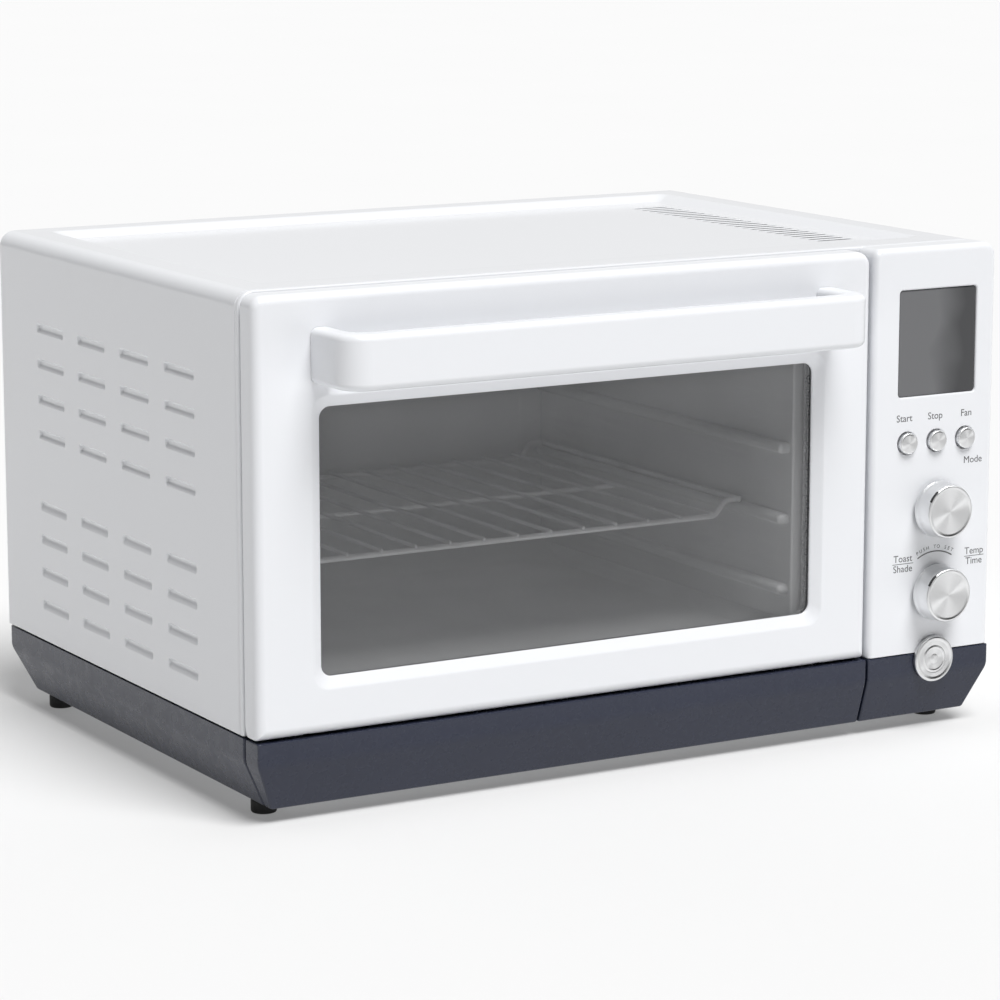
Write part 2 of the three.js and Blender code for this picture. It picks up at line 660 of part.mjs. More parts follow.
function buildControlPanel() {
  const face = prismY(
    roundedRect(PANEL_LEFT, RIGHT, BASE_TOP + GAP, HEIGHT, [1, 1, 8, 5]),
    FRONT,
    PANEL_REAR,
    3,
  );
  const plan = prismZ(roundedRect(PANEL_LEFT, RIGHT, FRONT, PANEL_REAR, [3, 4, 0.5, 0.5]), 0, HEIGHT + 1, 3);
  const sideOutline = roundedRect(FRONT, PANEL_REAR, BASE_TOP, HEIGHT, [0.5, 0.5, 0.5, 4]);
  const side = prismX(sideOutline, 0, RIGHT + 1, 3);
  const hollow = box(PANEL_LEFT + PLASTIC, RIGHT - PLASTIC, PANEL_WALL_REAR, REAR, BASE_TOP + PLASTIC,
    HEIGHT - PLASTIC);
  const window = prismY(
    roundedRect(DISPLAY.left - GAP, DISPLAY.right + GAP, DISPLAY.bottom - GAP, DISPLAY.top + GAP, 1.8),
    FRONT - 1,
    PANEL_WALL_REAR + 1,
    2,
  );
  const buttonHoles = Object.values(BUTTONS).map((x) => (
    bar([x, FRONT - 1, BUTTON_Z], [x, PANEL_WALL_REAR + 1, BUTTON_Z], BUTTON_RADIUS + 0.7, 20)));
  const knobHoles = [MODE_KNOB_Z, TEMP_KNOB_Z].map((z) => (
    bar([KNOB_X, FRONT - 1, z], [KNOB_X, PANEL_WALL_REAR + 1, z], 3.8, 16)));
  const moulding = face.intersect(plan).intersect(side);
  part('control_panel', cut(moulding, hollow, window, ...buttonHoles, ...knobHoles), 'white_plastic');
}

function buildDisplay() {
  const lens = prismY(
    roundedRect(DISPLAY.left, DISPLAY.right, DISPLAY.bottom, DISPLAY.top, 1.5),
    FRONT + 0.7,
    PANEL_WALL_REAR - GAP,
    2,
  );
  part('display_lens', lens, 'display_lens');
  part('display_module', box(DISPLAY.left + 3, DISPLAY.right - 3, PANEL_WALL_REAR + GAP, BOARD.front - GAP,
    DISPLAY.bottom + 3, DISPLAY.top - 3), 'black_plastic');
}

function buildButtons() {
  for (const [name, x] of Object.entries(BUTTONS)) {
    const cap = turned([[0, -152.6], [BUTTON_RADIUS - 1.2, -152.4], [BUTTON_RADIUS - 0.3, -152],
      [BUTTON_RADIUS, -151.2], [BUTTON_RADIUS, -147], [BUTTON_RADIUS + 1.6, -147],
      [BUTTON_RADIUS + 1.6, -145.8], [2, -145.8], [2, -141], [0, -141]], x, BUTTON_Z, 20);
    part(name, cap, 'spun_aluminium');
  }
}

function knob(z, shaftEnd) {
  const base = FRONT - 2.2;
  const cap = FRONT - 14.5;
  return turned([[0, cap + 0.4], [12, cap + 0.3], [14.5, cap], [15.4, cap + 1], [15.5, cap + 3], [15.8, base - 3],
    [16.3, base - 1], [16.3, base], [3, base], [3, shaftEnd], [0, shaftEnd]], KNOB_X, z, 28);
}

function buildKnobs() {
  const encoderFront = -142.3;
  part('mode_knob', knob(MODE_KNOB_Z, encoderFront - GAP), 'spun_aluminium');
  part('temp_knob', knob(TEMP_KNOB_Z, encoderFront - 2.3), 'spun_aluminium');
  for (const [name, z, bore] of [['mode_encoder', MODE_KNOB_Z, 0], ['temp_encoder', TEMP_KNOB_Z, 2.5]]) {
    const body = box(KNOB_X - 6.5, KNOB_X + 6.5, encoderFront, BOARD.front - GAP, z - 6.5, z + 6.5);
    const drill = () => bar([KNOB_X, encoderFront - 1, z], [KNOB_X, BOARD.front - 1.2, z], bore, 16);
    part(name, bore > 0 ? cut(body, drill()) : body, 'bright_steel');
  }
  part('temp_plunger', bar([KNOB_X, encoderFront - 2, TEMP_KNOB_Z], [KNOB_X, BOARD.front - 3.2, TEMP_KNOB_Z],
    2, 14), 'black_plastic');
}

function buildBoards() {
  const board = box(158, 230, BOARD.front, BOARD.rear, 62, 262);
  const switches = Object.values(BUTTONS).map((x) => (
    box(x - 3, x + 3, BOARD.front - 3, BOARD.front + 0.5, BUTTON_Z - 3, BUTTON_Z + 3)));
  part('control_board', union(board, ...switches), 'circuit_board');
  part('power_board', box(126, 127.6, -40, 110, 90, 230), 'circuit_board');
  part('transformer', box(128, 164, 40, 84, 100, 140), 'galvanised_steel');
  part('heater_relay', box(128, 146, -20, 10, 170, 190), 'black_plastic');
}

function buildBadge() {
  const back = FRONT - GAP;
  const badge = turned([[0, back], [13.4, back], [13.4, back - 1.6], [12.8, back - 2.8], [11.6, back - 3],
    [10.8, back - 2.5], [0, back - 2.5]], PANEL_CENTRE, 42, 32);
  part('badge', badge, 'spun_aluminium');
}

// ---- Door: outer moulding, glass, inner panel, handle, pins and springs ----

function doorOutline() {
  const quarter = Math.PI / 2;
  const top = HEIGHT - 0.9;
  const reach = 9;
  const dropAngle = Math.asin((HINGE.z - SHELL_BOTTOM) / reach);
  const outline = new THREE.Shape();
  outline.moveTo(HINGE.y, SHELL_BOTTOM);
  outline.lineTo(HINGE.y + reach * Math.cos(dropAngle), SHELL_BOTTOM);
  outline.absarc(HINGE.y, HINGE.z, reach, -dropAngle, 0, false);
  outline.lineTo(FRONT_LAYER_REAR, top - 1);
  outline.lineTo(FRONT_LAYER_REAR - 1, top);
  outline.lineTo(FRONT + 5, top);
  outline.absarc(FRONT + 5, top - 5, 5, quarter, 2 * quarter, false);
  outline.lineTo(FRONT, HINGE.z);
  outline.absarc(HINGE.y, HINGE.z, HINGE.y - FRONT, 2 * quarter, 3 * quarter, false);
  return outline;
}

// The window opening at the front face, narrowing by its bevel down to the glass.
function windowCut() {
  const { left, right, bottom, top, radius, bevel } = WINDOW;
  const lip = 1.5;
  const at = (grow) => ring(left - grow, right + grow, bottom - grow, top + grow, radius + grow * 0.5);
  const tapered = loft([
    { z: 0, points: at(0) },
    { z: lip, points: at(0) },
    { z: GLASS_DEPTH, points: at(bevel) },
    { z: GLASS_DEPTH + 2, points: at(bevel * 1.4) },
  ]);
  const through = loft([{ z: -40, points: at(0) }, { z: 0.5, points: at(0) }]);
  return union(tapered, through).rotate([90, 0, 0]).translate([0, FRONT + GLASS_DEPTH, 0]);
}

function hingeNotches() {
  return BRACKET_X.map((x) => (
    box(x - 2.4, x + 2.4, HINGE.y - 3.4, REAR, SHELL_BOTTOM - 1, HINGE.z + 5.5)));
}

function buildDoorFrame() {
  const top = HEIGHT - 0.9;
  const profile = prismX(doorOutline(), LEFT - 1, DOOR_RIGHT + 1, 3);
  const face = prismY(roundedRect(LEFT, DOOR_RIGHT, 0, top, [1, 1, 8, 6]), FRONT - 1, REAR, 3);
  const plan = prismZ(roundedRect(LEFT, DOOR_RIGHT, FRONT, REAR, [5, 5, 1, 1]), 0, HEIGHT, 3);
  const outer = profile.intersect(face).intersect(plan);

  const pocket = box(LEFT + PLASTIC, DOOR_RIGHT - PLASTIC, FRONT + PLASTIC, REAR, SHELL_BOTTOM + PLASTIC,
    top - PLASTIC);
  const rimReach = 10;
  const rim = box(WINDOW.left - rimReach, WINDOW.right + rimReach, FRONT + 1, FRONT + GLASS_DEPTH,
    WINDOW.bottom - rimReach, WINDOW.top + rimReach);
  const lugs = BRACKET_X.flatMap((x) => [-1, 1].map((side) => {
    const near = x + side * 2.6;
    const far = x + side * 12;
    return box(Math.min(near, far), Math.max(near, far), FRONT + 1, HINGE.y + 4,
      SHELL_BOTTOM + 1, HINGE.z + 4.5);
  }));
  const pinHoles = BRACKET_X.map((x) => (
    bar([x - 13, HINGE.y, HINGE.z], [x + 13, HINGE.y, HINGE.z], 1.85, 16)));
  const springSpaces = BRACKET_X.map((x) => (
    box(x + 2, x + 9, HINGE.y - 3.4, REAR, SHELL_BOTTOM + PLASTIC, HINGE.z + 5.5)));
  const screwHoles = HANDLE_SCREW_X.map((x) => (
    bar([x, FRONT - 1, HANDLE_Z], [x, FRONT + 10, HANDLE_Z], 2.3, 12)));
  const frame = union(cut(outer, pocket), rim, union(...lugs).intersect(outer));
  part('door_frame', cut(frame, windowCut(), ...hingeNotches(), ...springSpaces, ...pinHoles, ...screwHoles),
    'white_plastic');
}

const GLASS = {
  front: FRONT + GLASS_DEPTH + GAP,
  rear: FRONT + GLASS_DEPTH + GAP + GLASS_THICKNESS,
  reach: 7,
};

function buildDoorInside() {
  const { left, right, bottom, top } = WINDOW;
  part('door_glass', prismY(
    roundedRect(left - GLASS.reach, right + GLASS.reach, bottom - GLASS.reach, top + GLASS.reach, 4),
    GLASS.front,
    GLASS.rear,
    2,
  ), 'door_glass');

  const rear = FRONT_LAYER_REAR;
  const sheet = prismY(roundedRect(LEFT + 3.2, DOOR_RIGHT - 3.2, HINGE.z - 2.4, HEIGHT - 4.6, 4),
    rear - SHEET, rear, 2);
  const openingRect = (grow) => roundedRect(left - grow, right + grow, bottom - grow, top + grow, 5 + grow);
  const flange = prismY(openingRect(1 + SHEET), GLASS.rear + GAP, rear, 2);
  const opening = prismY(openingRect(1), FRONT, REAR, 2);
  const notches = BRACKET_X.map((x) => box(x - 3, x + 10, FRONT, REAR, 0, HINGE.z + 8));
  part('door_inner_panel', cut(union(sheet, flange), opening, ...notches), 'bright_steel');

  const sides = { left: BRACKET_X[0], right: BRACKET_X[1] };
  for (const [side, x] of Object.entries(sides)) {
    part(`hinge_pin_${side}`, bar([x - 11.5, HINGE.y, HINGE.z], [x + 11.5, HINGE.y, HINGE.z], 1.5, 16),
      'bright_steel');
    const coil = turned([[1.8, 0], [2.7, 0], [2.7, 5.4], [1.8, 5.4], [1.8, 0]], 0, 0, 16);
    const onPin = coil.rotate([0, 0, -90]).translate([x + 2.9, HINGE.y, HINGE.z]);
    part(`hinge_spring_${side}`, onPin, 'spring_steel');
  }
}

const HANDLE = { left: -202.5, right: 122.5, bottom: 232, top: 261, thickness: 14, leg: 12, corner: 9 };
const HANDLE_Z = (HANDLE.bottom + HANDLE.top) / 2;
const HANDLE_SCREW_X = [HANDLE.left + HANDLE.leg / 2, HANDLE.right - HANDLE.leg / 2];

// The handle's plan, drawn in by "inset": a bar across the front with a leg at each end.
function handlePlan(inset) {
  const quarter = Math.PI / 2;
  const { left, right, thickness, leg, corner } = HANDLE;
  const front = HANDLE_FRONT + inset;
  const rear = FRONT - GAP;
  const outer = corner - inset;
  const innerY = HANDLE_FRONT + thickness - inset;
  const innerLeft = left + leg - inset;
  const innerRight = right - leg + inset;
  const inner = 6;
  const outline = new THREE.Shape();
  outline.moveTo(left + inset, rear);
  outline.lineTo(left + inset, front + outer);
  outline.absarc(left + corner, front + outer, outer, 2 * quarter, 3 * quarter, false);
  outline.lineTo(right - corner, front);
  outline.absarc(right - corner, front + outer, outer, 3 * quarter, 4 * quarter, false);
  outline.lineTo(right - inset, rear);
  outline.lineTo(innerRight, rear);
  outline.lineTo(innerRight, innerY + inner);
  outline.absarc(innerRight - inner, innerY + inner, inner, 0, -quarter, true);
  outline.lineTo(innerLeft + inner, innerY);
  outline.absarc(innerLeft + inner, innerY + inner, inner, 3 * quarter, 2 * quarter, true);
  outline.lineTo(innerLeft, rear);
  return outline;
}

function buildHandle() {
  const chamfer = 2;
  const core = prismZ(handlePlan(0), HANDLE.bottom + 2 * chamfer, HANDLE.top - 2 * chamfer, 4);
  const middle = prismZ(handlePlan(0.6), HANDLE.bottom + chamfer * 0.8, HANDLE.top - chamfer * 0.8, 4);
  const crown = prismZ(handlePlan(2.6), HANDLE.bottom, HANDLE.top, 4);
  const holes = HANDLE_SCREW_X.map((x) => (
    bar([x, FRONT - 14, HANDLE_Z], [x, FRONT + 1, HANDLE_Z], 2.3, 12)));
  part('door_handle', cut(union(core, middle, crown), ...holes), 'white_plastic');

  const sides = { left: HANDLE_SCREW_X[0], right: HANDLE_SCREW_X[1] };
  for (const [side, x] of Object.entries(sides)) {
    const head = bar([x, FRONT + PLASTIC + GAP, HANDLE_Z], [x, FRONT + PLASTIC + 3, HANDLE_Z], 4, 14);
    const shank = bar([x, FRONT - 12, HANDLE_Z], [x, FRONT + PLASTIC + 1, HANDLE_Z], 2, 12);
    part(`handle_screw_${side}`, union(head, shank), 'bright_steel');
  }
}

buildBase();
buildFeet();
buildSkirts();
buildCrumbTray();
buildOuterShell();
buildRearCover();
buildFrontFrame();
buildCavity();
buildRack();
buildFan();
buildControlPanel();
buildDisplay();
buildButtons();
buildKnobs();
buildBoards();
buildBadge();
buildDoorFrame();
buildDoorInside();
buildHandle();

export default oven;
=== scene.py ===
import json
import math

import bmesh
import bpy
from mathutils import Matrix, Vector

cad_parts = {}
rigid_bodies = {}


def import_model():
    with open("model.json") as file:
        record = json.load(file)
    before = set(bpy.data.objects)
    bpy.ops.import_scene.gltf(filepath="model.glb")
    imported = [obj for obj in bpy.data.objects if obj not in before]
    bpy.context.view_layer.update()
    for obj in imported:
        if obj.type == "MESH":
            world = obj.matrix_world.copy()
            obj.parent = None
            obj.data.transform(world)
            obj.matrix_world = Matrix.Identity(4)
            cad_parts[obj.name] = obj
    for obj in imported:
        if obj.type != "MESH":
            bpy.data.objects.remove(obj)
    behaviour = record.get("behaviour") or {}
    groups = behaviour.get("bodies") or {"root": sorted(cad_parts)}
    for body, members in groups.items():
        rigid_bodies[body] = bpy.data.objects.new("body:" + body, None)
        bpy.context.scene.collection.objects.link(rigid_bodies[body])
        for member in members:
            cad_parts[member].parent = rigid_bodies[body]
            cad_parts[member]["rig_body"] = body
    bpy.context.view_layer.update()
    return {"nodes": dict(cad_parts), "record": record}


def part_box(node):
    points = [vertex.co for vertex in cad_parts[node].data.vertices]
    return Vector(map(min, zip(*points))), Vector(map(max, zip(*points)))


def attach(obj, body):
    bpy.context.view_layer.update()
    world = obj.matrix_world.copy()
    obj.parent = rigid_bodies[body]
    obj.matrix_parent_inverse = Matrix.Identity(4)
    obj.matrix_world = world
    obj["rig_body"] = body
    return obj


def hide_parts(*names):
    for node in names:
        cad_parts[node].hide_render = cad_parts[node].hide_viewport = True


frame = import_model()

# The looks of a countertop convection toaster oven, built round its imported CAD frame.
# Lengths here are in millimetres in the part's own frame: the front faces -Y, and z = 0 is the table.

MM = 0.001
SLOT_OF = {row["node"]: row["material_slot"] for row in frame["record"]["subparts"]}
BODY_OF = {name: node["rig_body"] for name, node in frame["nodes"].items()}

# ---- Camera ----

CAMERA_PLACE = (-1.04896, -1.80366, 0.52182)
CAMERA_AZIMUTH = 30.085
CAMERA_DROP = 10.689
CAMERA_LENS = 132.34


def build_camera():
    turn, drop = math.radians(CAMERA_AZIMUTH), math.radians(CAMERA_DROP)
    forward = Vector((math.sin(turn) * math.cos(drop), math.cos(turn) * math.cos(drop), -math.sin(drop)))
    data = bpy.data.cameras.new("camera")
    data.lens = CAMERA_LENS
    data.sensor_width = 36
    data.clip_start, data.clip_end = 0.05, 100
    camera = bpy.data.objects.new("camera", data)
    camera.location = CAMERA_PLACE
    camera.rotation_euler = forward.to_track_quat("-Z", "Y").to_euler()
    bpy.context.scene.collection.objects.link(camera)
    bpy.context.scene.camera = camera


build_camera()

# ---- Outlines and paths ----


def rect_ring(u0, u1, v0, v1, radius, steps=6):
    """Points of a rounded rectangle, anticlockwise. Four radii run from the lower right corner."""
    radii = radius if isinstance(radius, (tuple, list)) else (radius,) * 4
    corners = ((u1, v0, -1, 1), (u1, v1, -1, -1), (u0, v1, 1, -1), (u0, v0, 1, 1))
    points = []
    for corner, (u, v, side_u, side_v) in enumerate(corners):
        r = radii[corner]
        for step in range(steps + 1):
            angle = math.radians(90) * (corner - 1 + step / steps)
            points.append((u + side_u * r + r * math.cos(angle), v + side_v * r + r * math.sin(angle)))
    return points


def inset_rings(place, box, corner, levels, steps=6):
    """Rounded rectangles of one corner radius, each at a (level, inset) pair."""
    u0, u1, v0, v1 = box
    return [place(level, rect_ring(u0 + i, u1 - i, v0 + i, v1 - i, corner, steps)) for level, i in levels]


def circle(u, v, radius, steps=24):
    turns = [2 * math.pi * k / steps for k in range(steps)]
    return [(u + radius * math.cos(a), v + radius * math.sin(a)) for a in turns]


def on_x(x, points):
    return [(x, u, v) for u, v in points]


def on_y(y, points):
    return [(u, y, v) for u, v in points]


def on_z(z, points):
    return [(u, v, z) for u, v in points]


def quarter(steps):
    """(drawn in, risen) shares of a rounded edge, from its foot on the side wall to its top."""
    angles = [math.radians(90) * k / steps for k in range(steps + 1)]
    return [(1 - math.cos(a), math.sin(a)) for a in angles]


def rounded_path(points, radius, steps=6):
    """A path whose inner corners are turned into arcs."""
    corners = [Vector(p) for p in points]
    path = [corners[0]]
    for before, corner, after in zip(corners, corners[1:], corners[2:]):
        into, out = (before - corner).normalized(), (after - corner).normalized()
        half_angle = into.angle(out) / 2
        reach = min(radius / math.tan(half_angle), (before - corner).length / 2, (after - corner).length / 2)
        start, end = corner + into * reach, corner + out * reach
        for k in range(steps + 1):
            t = k / steps
            path.append(start * (1 - t) ** 2 + corner * 2 * t * (1 - t) + end * t ** 2)
    path.append(corners[-1])
    return path


# ---- Mesh building ----


class Skin:
    """A mesh under construction, in millimetres."""

    def __init__(self):
        self.bm = bmesh.new()

    def ring(self, points):
        return [self.bm.verts.new(point) for point in points]

    def bridge(self, first, second, closed=True):
        count = len(first)
        for k in range(count if closed else count - 1):
            after = (k + 1) % count
            self.bm.faces.new((first[k], first[after], second[after], second[k]))

    def loft(self, rings, closed=True, joined=False):
        """Faces through rings of equal count. joined bridges the last ring back to the first."""
        made = [self.ring(points) for points in rings]
        for first, second in zip(made, made[1:]):
            self.bridge(first, second, closed)
        if joined:
            self.bridge(made[-1], made[0], closed)
        return made

    def cap(self, ring):
        self.bm.faces.new(ring)

    def closed_loft(self, rings):
        made = self.loft(rings)
        self.cap(made[0])
        self.cap(made[-1])

    def fill(self, normal, *rings):
        """Flat faces between an outer ring and the rings of its holes."""
        edges = []
        for ring in rings:
            for k, vertex in enumerate(ring):
                pair = (vertex, ring[(k + 1) % len(ring)])
                edges.append(self.bm.edges.get(pair) or self.bm.edges.new(pair))
        bmesh.ops.triangle_fill(self.bm, use_beauty=True, edges=edges, normal=normal)

    def face_outward(self, away_from=None):
        bmesh.ops.remove_doubles(self.bm, verts=self.bm.verts, dist=1e-4)
        bmesh.ops.recalc_face_normals(self.bm, faces=self.bm.faces)
        if away_from is not None:
            centre = Vector(away_from)
            lean = sum(f.normal.dot(f.calc_center_median() - centre) * f.calc_area() for f in self.bm.faces)
            if lean < 0:
                bmesh.ops.reverse_faces(self.bm, faces=self.bm.faces)


AXIS_PLACES = {
    "X": lambda r, s, h, c: (c[0] + h, c[1] + r, c[2] + s),
    "Y": lambda r, s, h, c: (c[0] + r, c[1] + h, c[2] + s),
    "Z": lambda r, s, h, c: (c[0] + r, c[1] + s, c[2] + h),
}


def turned(skin, profile, centre, axis="Y", segments=48):
    """A turned shape; the profile is (radius, height along the axis) pairs."""
    place = AXIS_PLACES[axis]
    skin.loft([[place(u, v, height, centre) for u, v in circle(0, 0, radius, segments)]
               for radius, height in profile])


def tube(skin, path, radius, sides=12, domed=True):
    """A round wire along a path, with domed ends."""
    path = [Vector(p) for p in path]
    tangents = []
    for k in range(len(path)):
        before, after = path[max(k - 1, 0)], path[min(k + 1, len(path) - 1)]
        tangents.append((after - before).normalized())
    across = tangents[0].orthogonal().normalized()
    stations = []
    for point, along in zip(path, tangents):
        across = (across - along * across.dot(along)).normalized()
        stations.append((point, along, across, 1.0))
    if domed:
        rounding = [(0.5, 0.866), (0.866, 0.5), (0.985, 0.17)]
        first, last = stations[0], stations[-1]
        head = [(first[0] - first[1] * radius * out, first[1], first[2], share) for out, share in rounding]
        tail = [(last[0] + last[1] * radius * out, last[1], last[2], share) for out, share in rounding]
        stations = head[::-1] + stations + tail
    rings = []
    for point, along, across, share in stations:
        up = along.cross(across)
        ring = [point + (across * u + up * v) * radius * share for u, v in circle(0, 0, 1, sides)]
        rings.append(ring)
    skin.closed_loft(rings)


def soft_box(skin, low, high, radius, steps=3):
    """A box with every edge rounded."""
    (x0, y0, z0), (x1, y1, z1) = low, high
    rings = []
    lower = [(radius * (1 - rise), z0 + radius * drawn) for drawn, rise in quarter(steps)]
    upper = [(radius * drawn, z1 - radius * (1 - rise)) for drawn, rise in quarter(steps)]
    for inset, z in lower + upper:
        corner = max(radius - inset, radius * 0.08)
        rings.append(on_z(z, rect_ring(x0 + inset, x1 - inset, y0 + inset, y1 - inset, corner, steps)))
    skin.closed_loft(rings)


def block(low, high):
    """A plain block, used only to cut with."""
    skin = Skin()
    (x0, y0, z0), (x1, y1, z1) = low, high
    outline = [(x0, y0), (x1, y0), (x1, y1), (x0, y1)]
    skin.closed_loft([on_z(z0, outline), on_z(z1, outline)])
    return skin


def rod(start, end, radius):
    """A plain rod, used only to cut with."""
    skin = Skin()
    tube(skin, [start, end], radius, 24, domed=False)
    return skin


def scratch_object(skin):
    skin.face_outward()
    mesh = bpy.data.meshes.new("scratch")
    skin.bm.to_mesh(mesh)
    skin.bm.free()
    made = bpy.data.objects.new("scratch", mesh)
    bpy.context.scene.collection.objects.link(made)
    return made


def carved(skin, cutters):
    """The skin with the cutters' shapes taken out of it."""
    body = scratch_object(skin)
    tools = [scratch_object(cutter) for cutter in cutters]
    for tool in tools:
        modifier = body.modifiers.new("cut", "BOOLEAN")
        modifier.operation = "DIFFERENCE"
        modifier.solver = "EXACT"
        modifier.object = tool
    result = Skin()
    evaluated = body.evaluated_get(bpy.context.evaluated_depsgraph_get())
    result.bm.from_mesh(evaluated.to_mesh())
    evaluated.to_mesh_clear()
    for used in [body, *tools]:
        mesh = used.data
        bpy.data.objects.remove(used)
        bpy.data.meshes.remove(mesh)
    return result


# ---- Materials ----


class Finish:
    """A procedural material on one Principled shader, read in the part's own coordinates."""

    def __init__(self, name, roughness, metallic=0.0, **constants):
        self.material = bpy.data.materials.new(name)
        self.material.use_nodes = True
        self.tree = self.material.node_tree
        self.shader = next(n for n in self.tree.nodes if n.type == "BSDF_PRINCIPLED")
        self.shader.inputs["Roughness"].default_value = roughness
        self.shader.inputs["Metallic"].default_value = metallic
        for key, value in constants.items():
            self.shader.inputs[key.replace("_", " ")].default_value = value
        self.place = self.add("ShaderNodeTexCoord").outputs["Object"]

    def add(self, kind, settings=None, **inputs):
        node = self.tree.nodes.new(kind)
        for key, value in (settings or {}).items():
            setattr(node, key, value)
        for key, value in inputs.items():
            self.feed(node.inputs[key.replace("_", " ")], value)
        return node

    def feed(self, socket, value):
        if isinstance(value, bpy.types.NodeSocket):
            self.tree.links.new(value, socket)
        else:
            socket.default_value = value

    def stretched(self, x, y, z):
        """The part's coordinates with each axis scaled."""
        node = self.add("ShaderNodeMapping", Vector=self.place)
        node.inputs["Scale"].default_value = (x, y, z)
        return node.outputs["Vector"]

    def noise(self, scale, detail=3.0, place=None, roughness=0.5):
        node = self.add("ShaderNodeTexNoise", Vector=place or self.place, Scale=scale, Detail=detail,
                        Roughness=roughness)
        return node.outputs["Fac"]

    def spread(self, value, low, high, start=0.3, end=0.7):
        """The value, mapped from start..end to low..high."""
        node = self.add("ShaderNodeMapRange", Value=value, From_Min=start, From_Max=end, To_Min=low,
                        To_Max=high)
        return node.outputs["Result"]

    def arithmetic(self, first, second, operation="ADD"):
        node = self.add("ShaderNodeMath", {"operation": operation})
        self.feed(node.inputs[0], first)
        self.feed(node.inputs[1], second)
        return node.outputs[0]

    def between(self, factor, first, second):
        node = self.add("ShaderNodeMix", {"data_type": "RGBA"})
        self.feed(node.inputs[0], factor)
        self.feed(node.inputs[6], (*first, 1) if isinstance(first, tuple) else first)
        self.feed(node.inputs[7], (*second, 1) if isinstance(second, tuple) else second)
        return node.outputs[2]

    def worn_edges(self, colour, worn, amount):
        """The colour, changed a little where the surface turns sharply outward."""
        pointed = self.add("ShaderNodeNewGeometry").outputs["Pointiness"]
        return self.between(self.spread(pointed, 0.0, amount, 0.53, 0.62), colour, worn)

    def colour(self, value):
        self.feed(self.shader.inputs["Base Color"], value)

    def roughness(self, value):
        self.feed(self.shader.inputs["Roughness"], value)

    def bump(self, height, strength, distance):
        """Adds a bump; the distance is in millimetres."""
        node = self.add("ShaderNodeBump", Height=height, Strength=strength, Distance=distance * MM)
        before = self.shader.inputs["Normal"].links
        if before:
            self.tree.links.new(before[0].from_socket, node.inputs["Normal"])
        self.tree.links.new(node.outputs["Normal"], self.shader.inputs["Normal"])


def shade(colour, share):
    return tuple(channel * share for channel in colour)


def enamel(name, colour, roughness, coat, peel):
    """Smooth paint or gloss plastic: faint tone changes and an orange-peel surface."""
    finish = Finish(name, roughness, Coat_Weight=coat, Coat_Roughness=0.12)
    cloud = finish.spread(finish.noise(5, 2), 0, 1)
    tone = finish.between(cloud, shade(colour, 0.997), shade(colour, 1.002))
    specks = finish.spread(finish.noise(1400, 2), 0, 0.01, 0.62, 0.8)
    specked = finish.between(specks, tone, shade(colour, 0.8))
    finish.colour(finish.worn_edges(specked, shade(colour, 0.95), 0.2))
    finish.roughness(finish.spread(finish.noise(3, 1), roughness - 0.01, roughness + 0.01, 0, 1))
    finish.bump(finish.noise(260, 1), 0.03, peel)
    return finish.material


def moulded(name, colour, roughness, grain, worn):
    """Satin plastic or rubber with a fine spark-eroded grain."""
    finish = Finish(name, roughness)
    tone = finish.between(finish.spread(finish.noise(18, 5), 0, 1), shade(colour, 0.93), shade(colour, 1.07))
    mottle = finish.spread(finish.noise(900, 3), 0, 0.35)
    finish.colour(finish.worn_edges(finish.between(mottle, tone, shade(colour, 1.12)), worn, 0.3))
    finish.roughness(finish.spread(finish.noise(140, 4), roughness - 0.05, roughness + 0.07))
    finish.bump(finish.noise(3000, 3, roughness=0.6), 0.35, grain)
    return finish.material


def rolled_sheet(name, colour, roughness, along, spangle=0.0, metallic=0.85):
    """Rolled steel sheet: a brushed direction, cloudy tone and, where galvanised, crystal spangles."""
    finish = Finish(name, roughness, metallic)
    scales = {"X": (12, 700, 700), "Y": (700, 12, 700), "Z": (700, 700, 12)}[along]
    streaks = finish.noise(1, 4, finish.stretched(*scales), 0.6)
    tone = finish.between(finish.spread(finish.noise(14, 5), 0, 1), shade(colour, 0.88), shade(colour, 1.08))
    tone = finish.between(finish.spread(streaks, 0, 0.3), tone, shade(colour, 1.22))
    if spangle:
        cells = finish.add("ShaderNodeTexVoronoi", Vector=finish.place, Scale=130.0).outputs["Color"]
        grey = finish.add("ShaderNodeSeparateColor", Color=cells).outputs[0]
        tone = finish.between(finish.spread(grey, 0, spangle, 0, 1), tone, shade(colour, 1.35))
    finish.colour(finish.worn_edges(tone, shade(colour, 1.3), 0.4))
    finish.roughness(finish.spread(streaks, roughness - 0.07, roughness + 0.1))
    finish.bump(streaks, 0.1, 0.02)
    return finish.material


def wire_metal(name, colour, roughness, tint, tint_share, metallic=0.9):
    """Round bar or wire: plated or heat-darkened, with cloudy tone and drawn scratches."""
    finish = Finish(name, roughness, metallic)
    tone = finish.between(finish.spread(finish.noise(40, 5), 0, 1), shade(colour, 0.85), shade(colour, 1.1))
    stain = finish.spread(finish.noise(22, 4), 0, tint_share, 0.45, 0.75)
    finish.colour(finish.between(stain, tone, tint))
    finish.roughness(finish.spread(finish.noise(300, 4), roughness - 0.06, roughness + 0.12))
    finish.bump(finish.noise(900, 2), 0.05, 0.01)
    return finish.material


